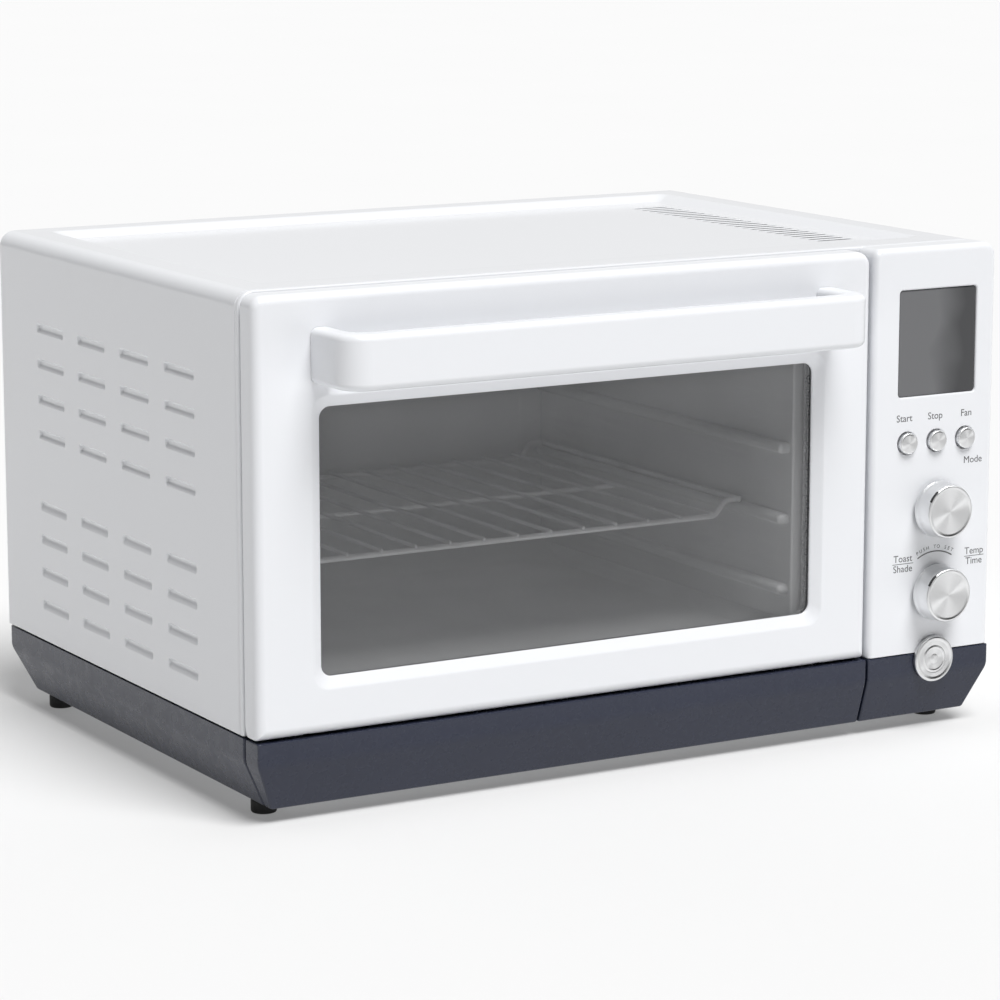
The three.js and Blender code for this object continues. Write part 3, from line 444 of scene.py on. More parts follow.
def spun(name, colour, roughness):
    """Turned aluminium: fine rings about the piece's own centre, and a painted reflection of light and dark
    sectors round it.
    """
    finish = Finish(name, roughness, 1.0, Anisotropic=0.85)
    own = finish.add("ShaderNodeTexCoord").outputs["Generated"]
    centred = finish.add("ShaderNodeVectorMath", {"operation": "SUBTRACT"})
    finish.feed(centred.inputs[0], own)
    centred.inputs[1].default_value = (0.5, 0.5, 0.5)
    flat = finish.add("ShaderNodeVectorMath", {"operation": "MULTIPLY"})
    finish.feed(flat.inputs[0], centred.outputs[0])
    flat.inputs[1].default_value = (1, 0, 1)
    reach = finish.add("ShaderNodeVectorMath", {"operation": "LENGTH"})
    finish.feed(reach.inputs[0], flat.outputs[0])
    rings = finish.add("ShaderNodeTexNoise", {"noise_dimensions": "1D"}, Scale=150.0, Detail=4.0)
    finish.feed(rings.inputs["W"], reach.outputs["Value"])
    grooves = rings.outputs["Fac"]
    parts = finish.add("ShaderNodeSeparateXYZ", Vector=flat.outputs[0]).outputs
    round_face = finish.add("ShaderNodeCombineXYZ", X=parts["X"], Y=parts["Z"]).outputs["Vector"]
    # Painted reflection: light and dark sectors round the centre, painted into the colour in place of the
    # turned metal's highlights.
    turn = finish.add("ShaderNodeTexGradient", {"gradient_type": "RADIAL"}, Vector=round_face).outputs["Fac"]
    painted_reflection_wave = finish.arithmetic(finish.arithmetic(turn, 4 * math.pi, "MULTIPLY"), 0.0, "SINE")
    painted_reflection_sectors = finish.between(finish.spread(painted_reflection_wave, 0, 1, -1, 1), shade(colour, 0.86), shade(colour, 1.08))
    tone = finish.between(finish.spread(grooves, 0, 0.4), painted_reflection_sectors, shade(colour, 0.92))
    finish.colour(finish.worn_edges(tone, shade(colour, 1.1), 0.4))
    finish.roughness(finish.spread(grooves, roughness - 0.05, roughness + 0.1))
    finish.bump(grooves, 0.12, 0.02)
    tangent = finish.add("ShaderNodeTangent", {"direction_type": "RADIAL", "axis": "Y"})
    finish.feed(finish.shader.inputs["Tangent"], tangent.outputs["Tangent"])
    return finish.material


def tinted_glass(name, colour, alpha):
    """The door's grey glass: thin, and faintly hazed by baked-on film."""
    finish = Finish(name, 0.06, Alpha=alpha, Specular_IOR_Level=0.5)
    film = finish.noise(9, 5)
    finish.colour(finish.between(finish.spread(film, 0, 1), shade(colour, 0.95), shade(colour, 1.06)))
    finish.roughness(finish.spread(finish.noise(30, 4), 0.04, 0.1))
    finish.bump(finish.noise(5, 2), 0.05, 0.05)
    return finish.material


def display_window(name):
    """Smoked acrylic over a dark liquid-crystal panel, with a painted reflection: lighter at one side,
    falling off to darker at the other.
    """
    finish = Finish(name, 0.12, Specular_IOR_Level=0.35)
    low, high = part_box("display_lens")
    across = finish.add("ShaderNodeSeparateXYZ", Vector=finish.place).outputs["X"]
    waver = finish.spread(finish.noise(24, 2), -0.006, 0.006)
    position = finish.arithmetic(across, waver)
    start = low.x + (high.x - low.x) * 0.45
    end = low.x + (high.x - low.x) * 0.85
    # Painted reflection: the colour is lighter towards the left and falls off to darker towards the right.
    painted_reflection_fall = finish.spread(position, 0, 1, start, end)
    finish.colour(finish.between(painted_reflection_fall, (0.155, 0.157, 0.163), (0.058, 0.059, 0.062)))
    finish.roughness(finish.spread(finish.noise(70, 3), 0.1, 0.16))
    finish.bump(finish.noise(60, 2), 0.03, 0.02)
    return finish.material


def circuit_board(name):
    """Green solder mask over copper tracks."""
    finish = Finish(name, 0.4, Coat_Weight=0.3)
    bricks = finish.add("ShaderNodeTexBrick", Vector=finish.stretched(1, 1, 1), Scale=120.0, Mortar_Size=0.03)
    tracks = bricks.outputs["Fac"]
    mask = finish.between(finish.spread(finish.noise(60, 3), 0, 1), (0.015, 0.09, 0.03), (0.02, 0.13, 0.045))
    finish.colour(finish.between(finish.spread(tracks, 0, 0.7, 0, 1), mask, (0.05, 0.22, 0.07)))
    finish.bump(tracks, 0.2, 0.05)
    return finish.material


def printed_ink(name):
    finish = Finish(name, 0.5)
    cover = finish.spread(finish.noise(2000, 2), 0, 1)
    finish.colour(finish.between(cover, (0.09, 0.09, 0.095), (0.15, 0.15, 0.155)))
    finish.bump(finish.noise(3000, 2), 0.1, 0.01)
    return finish.material


WHITE = (0.86, 0.872, 0.9)
MATERIALS = {
    "white_paint": enamel("white_paint", shade(WHITE, 0.985), 0.34, 0.6, 0.05),
    "white_plastic": enamel("white_plastic", WHITE, 0.28, 0.3, 0.03),
    "slate_plastic": moulded("slate_plastic", (0.018, 0.023, 0.045), 0.27, 0.02, (0.07, 0.075, 0.1)),
    "black_plastic": moulded("black_plastic", (0.02, 0.02, 0.021), 0.5, 0.05, (0.06, 0.06, 0.06)),
    "black_rubber": moulded("black_rubber", (0.018, 0.018, 0.018), 0.7, 0.08, (0.05, 0.05, 0.05)),
    "galvanised_steel": rolled_sheet("galvanised_steel", (0.5, 0.51, 0.53), 0.4, "Z", 0.3),
    "cavity_steel": rolled_sheet("cavity_steel", (0.78, 0.785, 0.79), 0.5, "Y", metallic=0.2),
    "bright_steel": rolled_sheet("bright_steel", (0.62, 0.62, 0.63), 0.28, "X"),
    "rack_chrome": wire_metal("rack_chrome", (0.88, 0.88, 0.89), 0.4, (0.7, 0.67, 0.62), 0.15, 0.4),
    "spun_aluminium": spun("spun_aluminium", (0.86, 0.865, 0.87), 0.33),
    "door_glass": tinted_glass("door_glass", (0.24, 0.243, 0.25), 0.23),
    "display_lens": display_window("display_lens"),
    "element_sheath": wire_metal("element_sheath", (0.09, 0.085, 0.08), 0.55, (0.16, 0.1, 0.07), 0.5),
    "circuit_board": circuit_board("circuit_board"),
    "spring_steel": wire_metal("spring_steel", (0.45, 0.45, 0.46), 0.3, (0.3, 0.27, 0.22), 0.3),
}
INK = printed_ink("printed_ink")

# ---- From skin to piece ----


def piece(name, skin, nodes, away_from=None, sheet=0.0, bevel=0.0, sharp=38, body=None, material=None):
    """Makes the finished object. It stands for the nodes, and takes its body and slot from the first.

    sheet thickens an open skin inward, bevel rounds its edges, and away_from is a point that its faces turn
    their backs on. Lengths are in millimetres, and sharp is the angle above which an edge stays crisp.
    """
    skin.face_outward(away_from)
    bmesh.ops.scale(skin.bm, vec=(MM, MM, MM), verts=skin.bm.verts)
    mesh = bpy.data.meshes.new(name)
    skin.bm.to_mesh(mesh)
    skin.bm.free()
    mesh.polygons.foreach_set("use_smooth", [True] * len(mesh.polygons))
    made = bpy.data.objects.new(name, mesh)
    bpy.context.scene.collection.objects.link(made)
    if sheet:
        solid = made.modifiers.new("sheet", "SOLIDIFY")
        solid.thickness = sheet * MM
        solid.offset = -1
        solid.use_even_offset = True
        solid.use_quality_normals = True
    if bevel:
        rounding = made.modifiers.new("edges", "BEVEL")
        rounding.width = bevel * MM
        rounding.segments = 2
        rounding.limit_method = "ANGLE"
        rounding.angle_limit = math.radians(35)
    else:
        mesh.set_sharp_from_angle(angle=math.radians(sharp))
    weighted = made.modifiers.new("normals", "WEIGHTED_NORMAL")
    weighted.keep_sharp = True
    slot = SLOT_OF[nodes[0]] if nodes else None
    mesh.materials.append(material or MATERIALS[slot])
    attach(made, body or BODY_OF[nodes[0]])
    if slot:
        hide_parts(*nodes)
    return made


def turned_piece(name, node, profile, centre, axis="Y", segments=48, sharp=38):
    skin = Skin()
    turned(skin, profile, centre, axis, segments)
    piece(name, skin, [node], sharp=sharp)


def refined(node, bevel):
    """The CAD shape with its flat faces merged and its edges rounded."""
    skin = Skin()
    skin.bm.from_mesh(frame["nodes"][node].data)
    bmesh.ops.scale(skin.bm, vec=(1 / MM,) * 3, verts=skin.bm.verts)
    bmesh.ops.remove_doubles(skin.bm, verts=skin.bm.verts, dist=0.002)
    bmesh.ops.dissolve_limit(skin.bm, angle_limit=math.radians(1), verts=skin.bm.verts, edges=skin.bm.edges)
    piece(node + "_finished", skin, [node], bevel=bevel)


# ---- Outer shell: a painted steel wrap with a pressed top, top vents and side louvres ----

LEFT, RIGHT = -235.0, 235.0
HEIGHT = 279.5
SHELL_BOTTOM = 46.8
SHELL_SHEET = 0.9
SHELL_CORNER = 9.0
SHELL_FRONT, SHELL_REAR = -132.5, 181.0
# How far behind its front edge a fine groove runs round the shell.
SEAM = 3.8
ARC_STEPS = 8

LOUVRE_COLUMNS = [-60.5 + 57 * k for k in range(4)]
# Each ring is (half length, lower edge, upper edge, corner radius, depth).
DEEP_LOUVRE = [(18.8, -3.0, 3.0, 1.7, 0), (18.5, -2.7, 2.75, 1.5, 0.12), (18.2, -2.2, 2.5, 1.3, 0.5),
               (17.7, -1.2, 2.0, 1.0, 1.35), (17.2, -0.4, 1.4, 0.8, 1.75)]
RAMP_LOUVRE = [(18.8, -3.4, 3.1, 1.8, 0), (18.5, -2.9, 2.85, 1.6, 0.12), (18.2, -2.0, 2.6, 1.3, 0.42),
               (17.7, -0.4, 2.1, 1.0, 1.1), (17.2, 0.5, 1.6, 0.5, 1.5)]
LOUVRES = {229.3: DEEP_LOUVRE, 208.8: DEEP_LOUVRE, 188.3: DEEP_LOUVRE, 167.8: DEEP_LOUVRE,
           126.0: RAMP_LOUVRE, 106.7: RAMP_LOUVRE, 87.3: RAMP_LOUVRE, 68.0: RAMP_LOUVRE}

RECESS = {"x": 211.0, "front": -108.0, "rear": 164.0}
# Each step is (how far in from the recess's edge, depth).
RECESS_STEPS = [(-1.6, 0), (-0.6, 0.07), (0.5, 0.28), (1.6, 0.62), (9.2, 3.38), (10.4, 3.74), (11.6, 3.94),
                (13, 4)]
VENT_PITCH = 8.6
VENT_ROWS = [-69 + VENT_PITCH * k for k in range(24)]
VENT = {"left": 167.0, "right": 191.0, "half": 1.9}


def wrap_section(y, inset):
    """The shell's section from the foot of its left side, over the top, to the foot of its right side."""
    corner_x, corner_z = RIGHT - SHELL_CORNER, HEIGHT - SHELL_CORNER
    radius = SHELL_CORNER - inset
    turn = [math.radians(90) * k / ARC_STEPS for k in range(ARC_STEPS + 1)]
    arc = [(radius * math.sin(a), radius * math.cos(a)) for a in turn]
    left = [(-corner_x - u, corner_z + v) for u, v in arc[::-1]]
    right = [(corner_x + u, corner_z + v) for u, v in arc]
    outline = [(LEFT + inset, SHELL_BOTTOM), *left, *right, (RIGHT - inset, SHELL_BOTTOM)]
    return on_y(y, outline)


def pressed_louvre(skin, x, inward, y, z, profile):
    """One louvre pressed into a side; returns its outer ring."""
    rings = []
    for half, low, high, corner, depth in profile:
        rings.append(on_x(x + inward * depth, rect_ring(y - half, y + half, z + low, z + high, corner, 4)))
    made = skin.loft(rings)
    skin.cap(made[-1])
    return made[0]


def recess_ring(inset, depth):
    edge, corner = RECESS["x"] - inset, max(6 - inset * 0.3, 2)
    outline = rect_ring(-edge, edge, RECESS["front"] + inset, RECESS["rear"] - inset, corner, 6)
    return on_z(HEIGHT - depth, outline)


def vent_slot(skin, y, z):
    """An open slot with a rolled edge; returns its outer ring."""
    rings = []
    for grow, depth in ((0.5, 0), (0.15, 0.12), (0, 0.45)):
        half = VENT["half"] + grow
        outline = rect_ring(VENT["left"] - grow, VENT["right"] + grow, y - half, y + half, half * 0.95, 4)
        rings.append(on_z(z - depth, outline))
    return skin.loft(rings)[0]


def build_vent_strip(skin, z):
    """The vent slots, each in a cell of its own; returns the outline of the strip they make."""
    x0, x1 = VENT["left"] - 1.5, VENT["right"] + 1.5
    edges = [VENT_ROWS[0] + VENT_PITCH * (k - 0.5) for k in range(len(VENT_ROWS) + 1)]
    for y, low, high in zip(VENT_ROWS, edges, edges[1:]):
        cell = skin.ring(on_z(z, [(x1, low), (x1, high), (x0, high), (x0, low)]))
        skin.fill((0, 0, 1), cell, vent_slot(skin, y, z))
    return skin.ring(on_z(z, [(x1, y) for y in edges] + [(x0, y) for y in edges[::-1]]))


def build_outer_shell():
    skin = Skin()
    hem = [(0, 3.5), (0, 1.3), (0.35, 0.38), (1.2, 0), (SEAM - 0.35, 0), (SEAM - 0.2, 0.4), (SEAM + 0.2, 0.4),
           (SEAM + 0.35, 0)]
    front = skin.loft([wrap_section(SHELL_FRONT + back, inset) for back, inset in hem], closed=False)[-1]
    rear = skin.loft([wrap_section(SHELL_REAR - 0.7, 0), wrap_section(SHELL_REAR - 0.2, 0.12),
                      wrap_section(SHELL_REAR, 0.4)], closed=False)[0]
    last = len(front) - 1
    left_arc_end, right_arc_start = 1 + ARC_STEPS, 2 + ARC_STEPS
    for k in [*range(1, left_arc_end), *range(right_arc_start, last - 1)]:
        skin.bm.faces.new((front[k], front[k + 1], rear[k + 1], rear[k]))
    for x, inward, foot, head in ((LEFT, 1, 0, 1), (RIGHT, -1, last, last - 1)):
        louvres = [pressed_louvre(skin, x, inward, y, z, profile)
                   for z, profile in LOUVRES.items() for y in LOUVRE_COLUMNS]
        skin.fill((-inward, 0, 0), [front[foot], front[head], rear[head], rear[foot]], *louvres)
    recess = skin.loft([recess_ring(inset, depth) for inset, depth in RECESS_STEPS])
    top = [front[left_arc_end], front[right_arc_start], rear[right_arc_start], rear[left_arc_end]]
    skin.fill((0, 0, 1), top, recess[0])
    skin.fill((0, 0, 1), recess[-1], build_vent_strip(skin, HEIGHT - RECESS_STEPS[-1][1]))
    piece("painted_shell", skin, ["outer_shell"], away_from=(0, 24, 120), sheet=SHELL_SHEET, sharp=50)


# ---- Base: tapered plastic ring, steel pan and feet ----

BASE_BOTTOM, BASE_CREASE, BASE_TOP = 8.0, 33.5, 45.8
CREASE_SOFTNESS = 2.6
BASE_FRONT = -133.0
PAN_SLOT_COLUMNS, PAN_SLOT_ROWS = range(-150, 151, 60), (-35, 75)
PLASTIC = 2.5


def taper_share(z):
    """How much of the taper is drawn in at a height, with the crease rounded."""
    drop = BASE_CREASE - BASE_BOTTOM
    if z > BASE_CREASE + CREASE_SOFTNESS:
        return 0.0
    if z < BASE_CREASE - CREASE_SOFTNESS:
        return (BASE_CREASE - z) / drop
    return (BASE_CREASE + CREASE_SOFTNESS - z) ** 2 / (4 * CREASE_SOFTNESS * drop)


def base_heights():
    soft = [BASE_CREASE + CREASE_SOFTNESS * (k / 3 - 1) for k in range(7)]
    return [BASE_BOTTOM + 0.8, *soft, BASE_TOP - 0.5]


def taper_ring(box, tapers, z, inset, corner):
    x0, x1, y0, y1 = box
    share = taper_share(z)
    left, right, front, rear = (share * amount + inset for amount in tapers)
    return on_z(z, rect_ring(x0 + left, x1 - right, y0 + front, y1 - rear, corner, 4))


def build_base_shell():
    box = (LEFT, RIGHT, BASE_FRONT, SHELL_REAR)
    tapers = (11.2, 11.2, 0, 10.8)
    corner = (1.2, 4, 4, 1.2)
    inner_corner = (0.5, 2, 2, 0.5)
    levels = [(BASE_BOTTOM, 0.8), (BASE_BOTTOM + 0.25, 0.24), *((z, 0) for z in base_heights()),
              (BASE_TOP - 0.15, 0.15), (BASE_TOP, 0.5)]
    outer = [taper_ring(box, tapers, z, inset, corner) for z, inset in levels]
    inner = [taper_ring(box, tapers, BASE_TOP, PLASTIC, inner_corner)]
    inner += [taper_ring(box, tapers, z, PLASTIC, inner_corner) for z in base_heights()[::-1]]
    inner += [taper_ring(box, tapers, BASE_BOTTOM, PLASTIC, inner_corner)]
    skin = Skin()
    skin.loft(outer + inner, joined=True)
    skin = carved(skin, [block((-215, BASE_FRONT - 1, 34), (138.5, BASE_FRONT + 3.5, BASE_TOP + 1))])
    for x0, x1 in ((-210, -196), (111, 125)):
        soft_box(skin, (x0, BASE_FRONT, 31), (x1, 177, 36.7), 0.6)
    piece("base_ring", skin, ["base_shell"])


def open_slot(skin, axis_place, level, depth_step, u, v, half_u, half_v, corner):
    """A punched hole with a rolled edge in a flat sheet; returns its outer ring."""
    rings = []
    for grow, depth in ((0.45, 0), (0.12, 0.12), (0, 0.4)):
        outline = rect_ring(u - half_u - grow, u + half_u + grow, v - half_v - grow, v + half_v + grow,
                            corner + grow * 0.8, 4)
        rings.append(axis_place(level + depth_step * depth, outline))
    return skin.loft(rings)[0]


def build_base_pan():
    skin = Skin()
    levels = ((11, 0), (8.5, 0), (8.12, 0.2), (8.0, 0.7))
    outer = skin.loft(inset_rings(on_z, (-220.5, 220.5, -130, 166.9), 3, levels, 5))
    holes = []
    for x in PAN_SLOT_COLUMNS:
        for y in PAN_SLOT_ROWS:
            holes.append(open_slot(skin, on_z, BASE_BOTTOM, 1, x, y, 3, 25, 2.9))
    for x, y in FOOT_PLACES.values():
        holes.append(skin.ring(on_z(BASE_BOTTOM, circle(x, y, 2.6))))
    skin.fill((0, 0, -1), outer[-1], *holes)
    piece("bottom_pan", skin, ["base_pan"], away_from=(0, 18, 40), sheet=0.8)


FOOT_PLACES = {
    "foot_front_left": (-215.5, -116.2),
    "foot_front_right": (215.5, -116.2),
    "foot_rear_left": (-215.5, 151.0),
    "foot_rear_right": (215.5, 151.0),
}


def build_feet():
    profile = [(0, 0.35), (4.2, 0.35), (4.6, 0), (5.9, 0), (6.5, 0.2), (6.85, 0.7), (7, 1.5), (7, 6.4),
               (6.8, 7.2), (6.3, 7.7), (2, 7.7), (2, 12.6), (1.7, 13), (0, 13)]
    for node, (x, y) in FOOT_PLACES.items():
        turned_piece(node + "_pad", node, profile, (x, y, 0), "Z", 32)


# ---- Skirts under the door and under the control panel ----


def build_skirt(name, node, x0, x1, tapers):
    box = (x0, x1, -150.0, -135.0)
    corner = (1.3, 0.5, 0.5, 1.3)
    levels = [(BASE_BOTTOM, 0.9, 0.5), (BASE_BOTTOM + 0.28, 0.28, corner),
              *((z, 0, corner) for z in base_heights()),
              (BASE_TOP - 0.15, 0.15, corner), (BASE_TOP, 0.5, 0.7)]
    skin = Skin()
    skin.closed_loft([taper_ring(box, tapers, z, inset, radius) for z, inset, radius in levels])
    pocket = Skin()
    inner_box = (x0 + PLASTIC, x1 - PLASTIC, -150.0 + PLASTIC, -130.0)
    heights = [BASE_BOTTOM + PLASTIC, *base_heights()[1:-1], BASE_TOP - PLASTIC]
    pocket.closed_loft([taper_ring(inner_box, tapers, z, 0, 0.8) for z in heights])
    piece(name, carved(skin, [pocket]), [node])


# ---- Rear cover, its screws and spacers, and the cord gland ----

REAR_FACE = 179.0
REAR_VENT_ROWS, REAR_VENT_COLUMNS = (100, 205, 225), range(-120, 121, 30)
SCREWS = {
    "rear_screw_top_left": (-210, 258),
    "rear_screw_top_right": (210, 258),
    "rear_screw_bottom_left": (-210, 66),
    "rear_screw_bottom_right": (210, 66),
}
SPACERS = {"rear_spacer_left": (-150, 235), "rear_spacer_right": (150, 235)}
CORD_HOLE = (165, 75)


def build_rear_cover():
    skin = Skin()
    corners = (1.5, 9.5, 9.5, 1.5)
    # Each ring is (half width, bottom, top, depth below the face).
    rim = [(233.2, 47.6, 278.1, 0), (233.7, 47.4, 278.3, 0.3), (233.7, 47.4, 278.3, 3)]
    outer = skin.loft([on_y(REAR_FACE - depth, rect_ring(-x, x, z0, z1, corners))
                       for x, z0, z1, depth in rim])[0]
    holes = []
    for z in REAR_VENT_ROWS:
        for x in REAR_VENT_COLUMNS:
            holes.append(open_slot(skin, on_y, REAR_FACE, -1, x, z, 10, 2, 1.95))
    holes += [skin.ring(on_y(REAR_FACE, circle(x, z, 2))) for x, z in SCREWS.values()]
    holes.append(skin.ring(on_y(REAR_FACE, circle(*CORD_HOLE, 6.3))))
    skin.fill((0, 1, 0), outer, *holes)
    piece("rear_sheet", skin, ["rear_cover"], away_from=(0, 100, 160), sheet=0.8)


def build_rear_hardware():
    head = [(0, 0.55), (1.2, 0.5), (2.4, 0.35), (3.2, -0.1), (3.6, -0.8), (3.6, -1.5), (3.4, -1.7),
            (1.5, -1.7), (1.5, -7.5), (0.4, -8.6), (0, -8.6)]
    for node, (x, z) in SCREWS.items():
        skin = Skin()
        turned(skin, head, (x, REAR_FACE + 2, z), "Y", 32)
        cross = [block((x - 1.9, REAR_FACE + 1.3, z - 0.35), (x + 1.9, REAR_FACE + 4, z + 0.35)),
                 block((x - 0.35, REAR_FACE + 1.3, z - 1.9), (x + 0.35, REAR_FACE + 4, z + 1.9))]
        piece(node + "_head", carved(skin, cross), [node])
    bumper = [(0, 10.95), (4.6, 10.95), (5.4, 10.75), (5.85, 10.2), (6, 9.4), (6, 1.0), (5.8, 0.5),
              (5.4, 0.3), (0, 0.3)]
    for node, (x, z) in SPACERS.items():
        turned_piece(node + "_bumper", node, bumper, (x, REAR_FACE, z), "Y", 32)
    gland = [(3.6, -3.8), (5.6, -3.8), (6, -3.4), (6, 0.3), (8.6, 0.3), (9, 0.6), (9, 1.6), (8.7, 2.1),
             (7.7, 3.6), (7.1, 4), (4.1, 4), (3.6, 3.6)]
    skin = Skin()
    rings = [on_y(REAR_FACE + height, circle(*CORD_HOLE, radius, 40)) for radius, height in gland]
    skin.loft(rings, joined=True)
    piece("cord_inlet", skin, ["cord_gland"])


# ---- Front frame round the oven mouth, with the hinge arms ----

FRAME_EDGE = (-231, 148.3, 48.1, 269.4)
MOUTH = (-194, 108, 63, 239)
HINGE_Y, HINGE_Z = -144.0, 52.8
ARM_X = (-205.0, 118.0)


def build_front_frame():
    face, back = -133.4, -132.2
    skin = Skin()
    levels = ((back, 0), (face + 0.3, 0), (face, 0.3))
    outer = skin.loft(inset_rings(on_y, FRAME_EDGE, 4.5, levels))
    x0, x1, z0, z1 = MOUTH
    mouth = skin.loft([on_y(y, rect_ring(x0 - grow, x1 + grow, z0 - grow, z1 + grow, 8 + grow))
                       for y, grow in ((face, 1.4), (face + 0.25, 0.5), (face + 0.8, 0.05), (back, 0))])
    skin.fill((0, -1, 0), outer[-1], mouth[0])
    skin.fill((0, 1, 0), outer[0], mouth[-1])
    for x in ARM_X:
        build_arm(skin, x)
    piece("mouth_frame", skin, ["front_frame"])


def build_arm(skin, x):
    """A hinge arm: a strap with a round eye about the hinge axis."""
    turn = [math.radians(90 + 180 * k / 12) for k in range(13)]
    eye = [(HINGE_Y + 3 * math.cos(a), HINGE_Z + 3 * math.sin(a)) for a in turn]
    outline = [*eye, (-132.6, HINGE_Z - 3), (-132.6, HINGE_Z + 3)]
    hole = circle(HINGE_Y, HINGE_Z, 1.62, 20)
    sides = []
    for side in (x - 1.5, x + 1.5):
        rim, bore = skin.ring(on_x(side, outline)), skin.ring(on_x(side, hole))
        skin.fill((1, 0, 0), rim, bore)
        sides.append((rim, bore))
    skin.bridge(sides[0][0], sides[1][0])
    skin.bridge(sides[0][1], sides[1][1])


# ---- Oven cavity ----

CAVITY = {"left": -195.0, "right": 109.0, "front": -131.3, "rear": 144.0, "floor": 62.0, "top": 240.0}
WALL_FOOT = 48.2
BACK_DISH = (74, 236)
CEILING_BEADS = (-40, 40, 110)
ELEMENTS = {"level": {"upper": 226.0, "lower": 53.0}, "place": {"front": -70.0, "rear": 80.0}}
CRUMB_SLOTS = range(-150, 71, 22)
RIB_HEIGHTS = (87.2, 127.6, 168.0)
SHEET = 0.8
FAN_Y, FAN_Z = 20.0, 148.0


def pressed_rib(skin, x, inward, z):
    """A rack rib pressed out of a side wall, with a rounded front end; returns its foot ring."""
    rise = [(3.5, 0), (3.15, 0.15), (3.0, 0.6), (3.0, 4.0)]
    rise += [(3 * math.cos(a), 4 + 3 * math.sin(a)) for a in (math.radians(15 * k) for k in range(1, 6))]
    rings = []
    for half, height in rise:
        outline = rect_ring(-129 - half + 3, 140 + half - 3, z - half, z + half, half * 0.99, 6)
        rings.append(on_x(x + inward * height, outline))
    made = skin.loft(rings)
    skin.cap(made[-1])
    return made[0]


def grille_places():
    places = []
    for row in range(-7, 8):
        for column in range(-7, 8):
            y = FAN_Y + 5.6 * column + (2.8 if row % 2 else 0)
            z = FAN_Z + 5.0 * row
            clear = all(abs(z - height) > 7 for height in RIB_HEIGHTS)
            if math.hypot(y - FAN_Y, z - FAN_Z) < 38 and clear:
                places.append((y, z))
    return places


def build_side_wall(name, node, x, inward, grille):
    skin = Skin()
    box = rect_ring(CAVITY["front"], CAVITY["rear"] - 0.4, WALL_FOOT, CAVITY["top"] - 0.4, 1, 2)
    outer = skin.ring(on_x(x, box))
    holes = [pressed_rib(skin, x, inward, z) for z in RIB_HEIGHTS]
    for z in ELEMENTS["level"].values():
        holes += [skin.ring(on_x(x, circle(y, z, 4.2))) for y in ELEMENTS["place"].values()]
    holes += [skin.ring(on_x(x, circle(y, z, 1.6, 10))) for y, z in grille]
    skin.fill((inward, 0, 0), outer, *holes)
    piece(name, skin, [node], away_from=(x - inward * 500, 0, 140), sheet=SHEET)


def build_cavity_sheets():
    build_side_wall("oven_left_wall", "cavity_left_wall", CAVITY["left"], 1, grille_places())
    build_side_wall("oven_right_wall", "cavity_right_wall", CAVITY["right"], -1, [])
    x0, x1 = CAVITY["left"] - SHEET, CAVITY["right"] + SHEET

    skin = Skin()
    outline = rect_ring(x0 + 0.1, x1 - 0.1, WALL_FOOT, CAVITY["top"] - 0.4, 1, 2)
    outer = skin.ring(on_y(CAVITY["rear"], outline))
    steps = ((14, 0), (15, 0.05), (16.6, 0.5), (17.6, 0.6))
    levels = [(CAVITY["rear"] + depth, inset) for inset, depth in steps]
    dish = skin.loft(inset_rings(on_y, (x0, x1, *BACK_DISH), 12, levels))
    skin.fill((0, -1, 0), outer, dish[0])
    skin.cap(dish[-1])
    piece("oven_back", skin, ["cavity_back_wall"], away_from=(-43, 600, 140), sheet=SHEET)

    skin = Skin()
    outer = skin.ring(on_z(CAVITY["top"], rect_ring(x0, x1, CAVITY["front"], CAVITY["rear"] + SHEET, 1, 2)))
    beads = []
    for y in CEILING_BEADS:
        rings = [on_z(CAVITY["top"] - drop, rect_ring(-170 + i, 84 - i, y - 5 + i, y + 5 - i, 4.9 - i * 0.9))
                 for i, drop in ((0, 0), (0.8, 0.1), (2.2, 0.9), (3.4, 1.2))]
        made = skin.loft(rings)
        skin.cap(made[-1])
        beads.append(made[0])
    skin.fill((0, 0, -1), outer, *beads)
    piece("oven_ceiling", skin, ["cavity_top"], away_from=(-43, 0, 900), sheet=SHEET)


def build_cavity_floor():
    skin = Skin()
    rings = []
    # Each step is (share of the way in, height above the floor).
    steps = [(0, 8.0), (0.1, 7.1), (0.35, 4.7), (0.7, 1.9), (0.9, 0.6), (1.02, 0.14), (1.12, 0)]
    for share, height in steps:
        side, front, rear = 9 * share, 6 * share, 24 * share
        corner = 2.5 + 26 * share
        front_corner = 2.5 + 8 * share
        corners = (front_corner, corner, corner, front_corner)
        outline = rect_ring(CAVITY["left"] + 0.4 + side, CAVITY["right"] - 0.4 - side,
                            CAVITY["front"] + front, CAVITY["rear"] - 0.4 - rear, corners, 10)
        rings.append(on_z(CAVITY["floor"] + height, outline))
    made = skin.loft(rings)
    slots = [open_slot(skin, on_z, CAVITY["floor"], -1, x, -111, 7, 3, 2.5) for x in CRUMB_SLOTS]
    skin.fill((0, 0, 1), made[-1], *slots)
    piece("oven_floor", skin, ["cavity_floor"], away_from=(-43, 0, -900), sheet=SHEET)


def build_elements():
    for level, z in ELEMENTS["level"].items():
        for place, y in ELEMENTS["place"].items():
            skin = Skin()
            tube(skin, [(-204.5, y, z), (-196, y, z), (110, y, z), (117, y, z)], 3.4, 20)
            for x in (-198.5, 112.5):
                ferrule = [(3.4, -1.6), (4.0, -1.5), (4.1, -1.2), (4.1, 1.2), (4.0, 1.5), (3.4, 1.6)]
                turned(skin, ferrule, (x, y, z), "X", 24)
            node = f"{level}_element_{place}"
            piece(node + "_rod", skin, [node])


# ---- Wire rack ----

RACK_FRONT, RACK_REAR = -84.0, 135.0
RAIL_X = (-190.6, 104.6)
RAIL_Z, GRID_Z = 132.5, 124.1
RAIL_RADIUS = 1.6


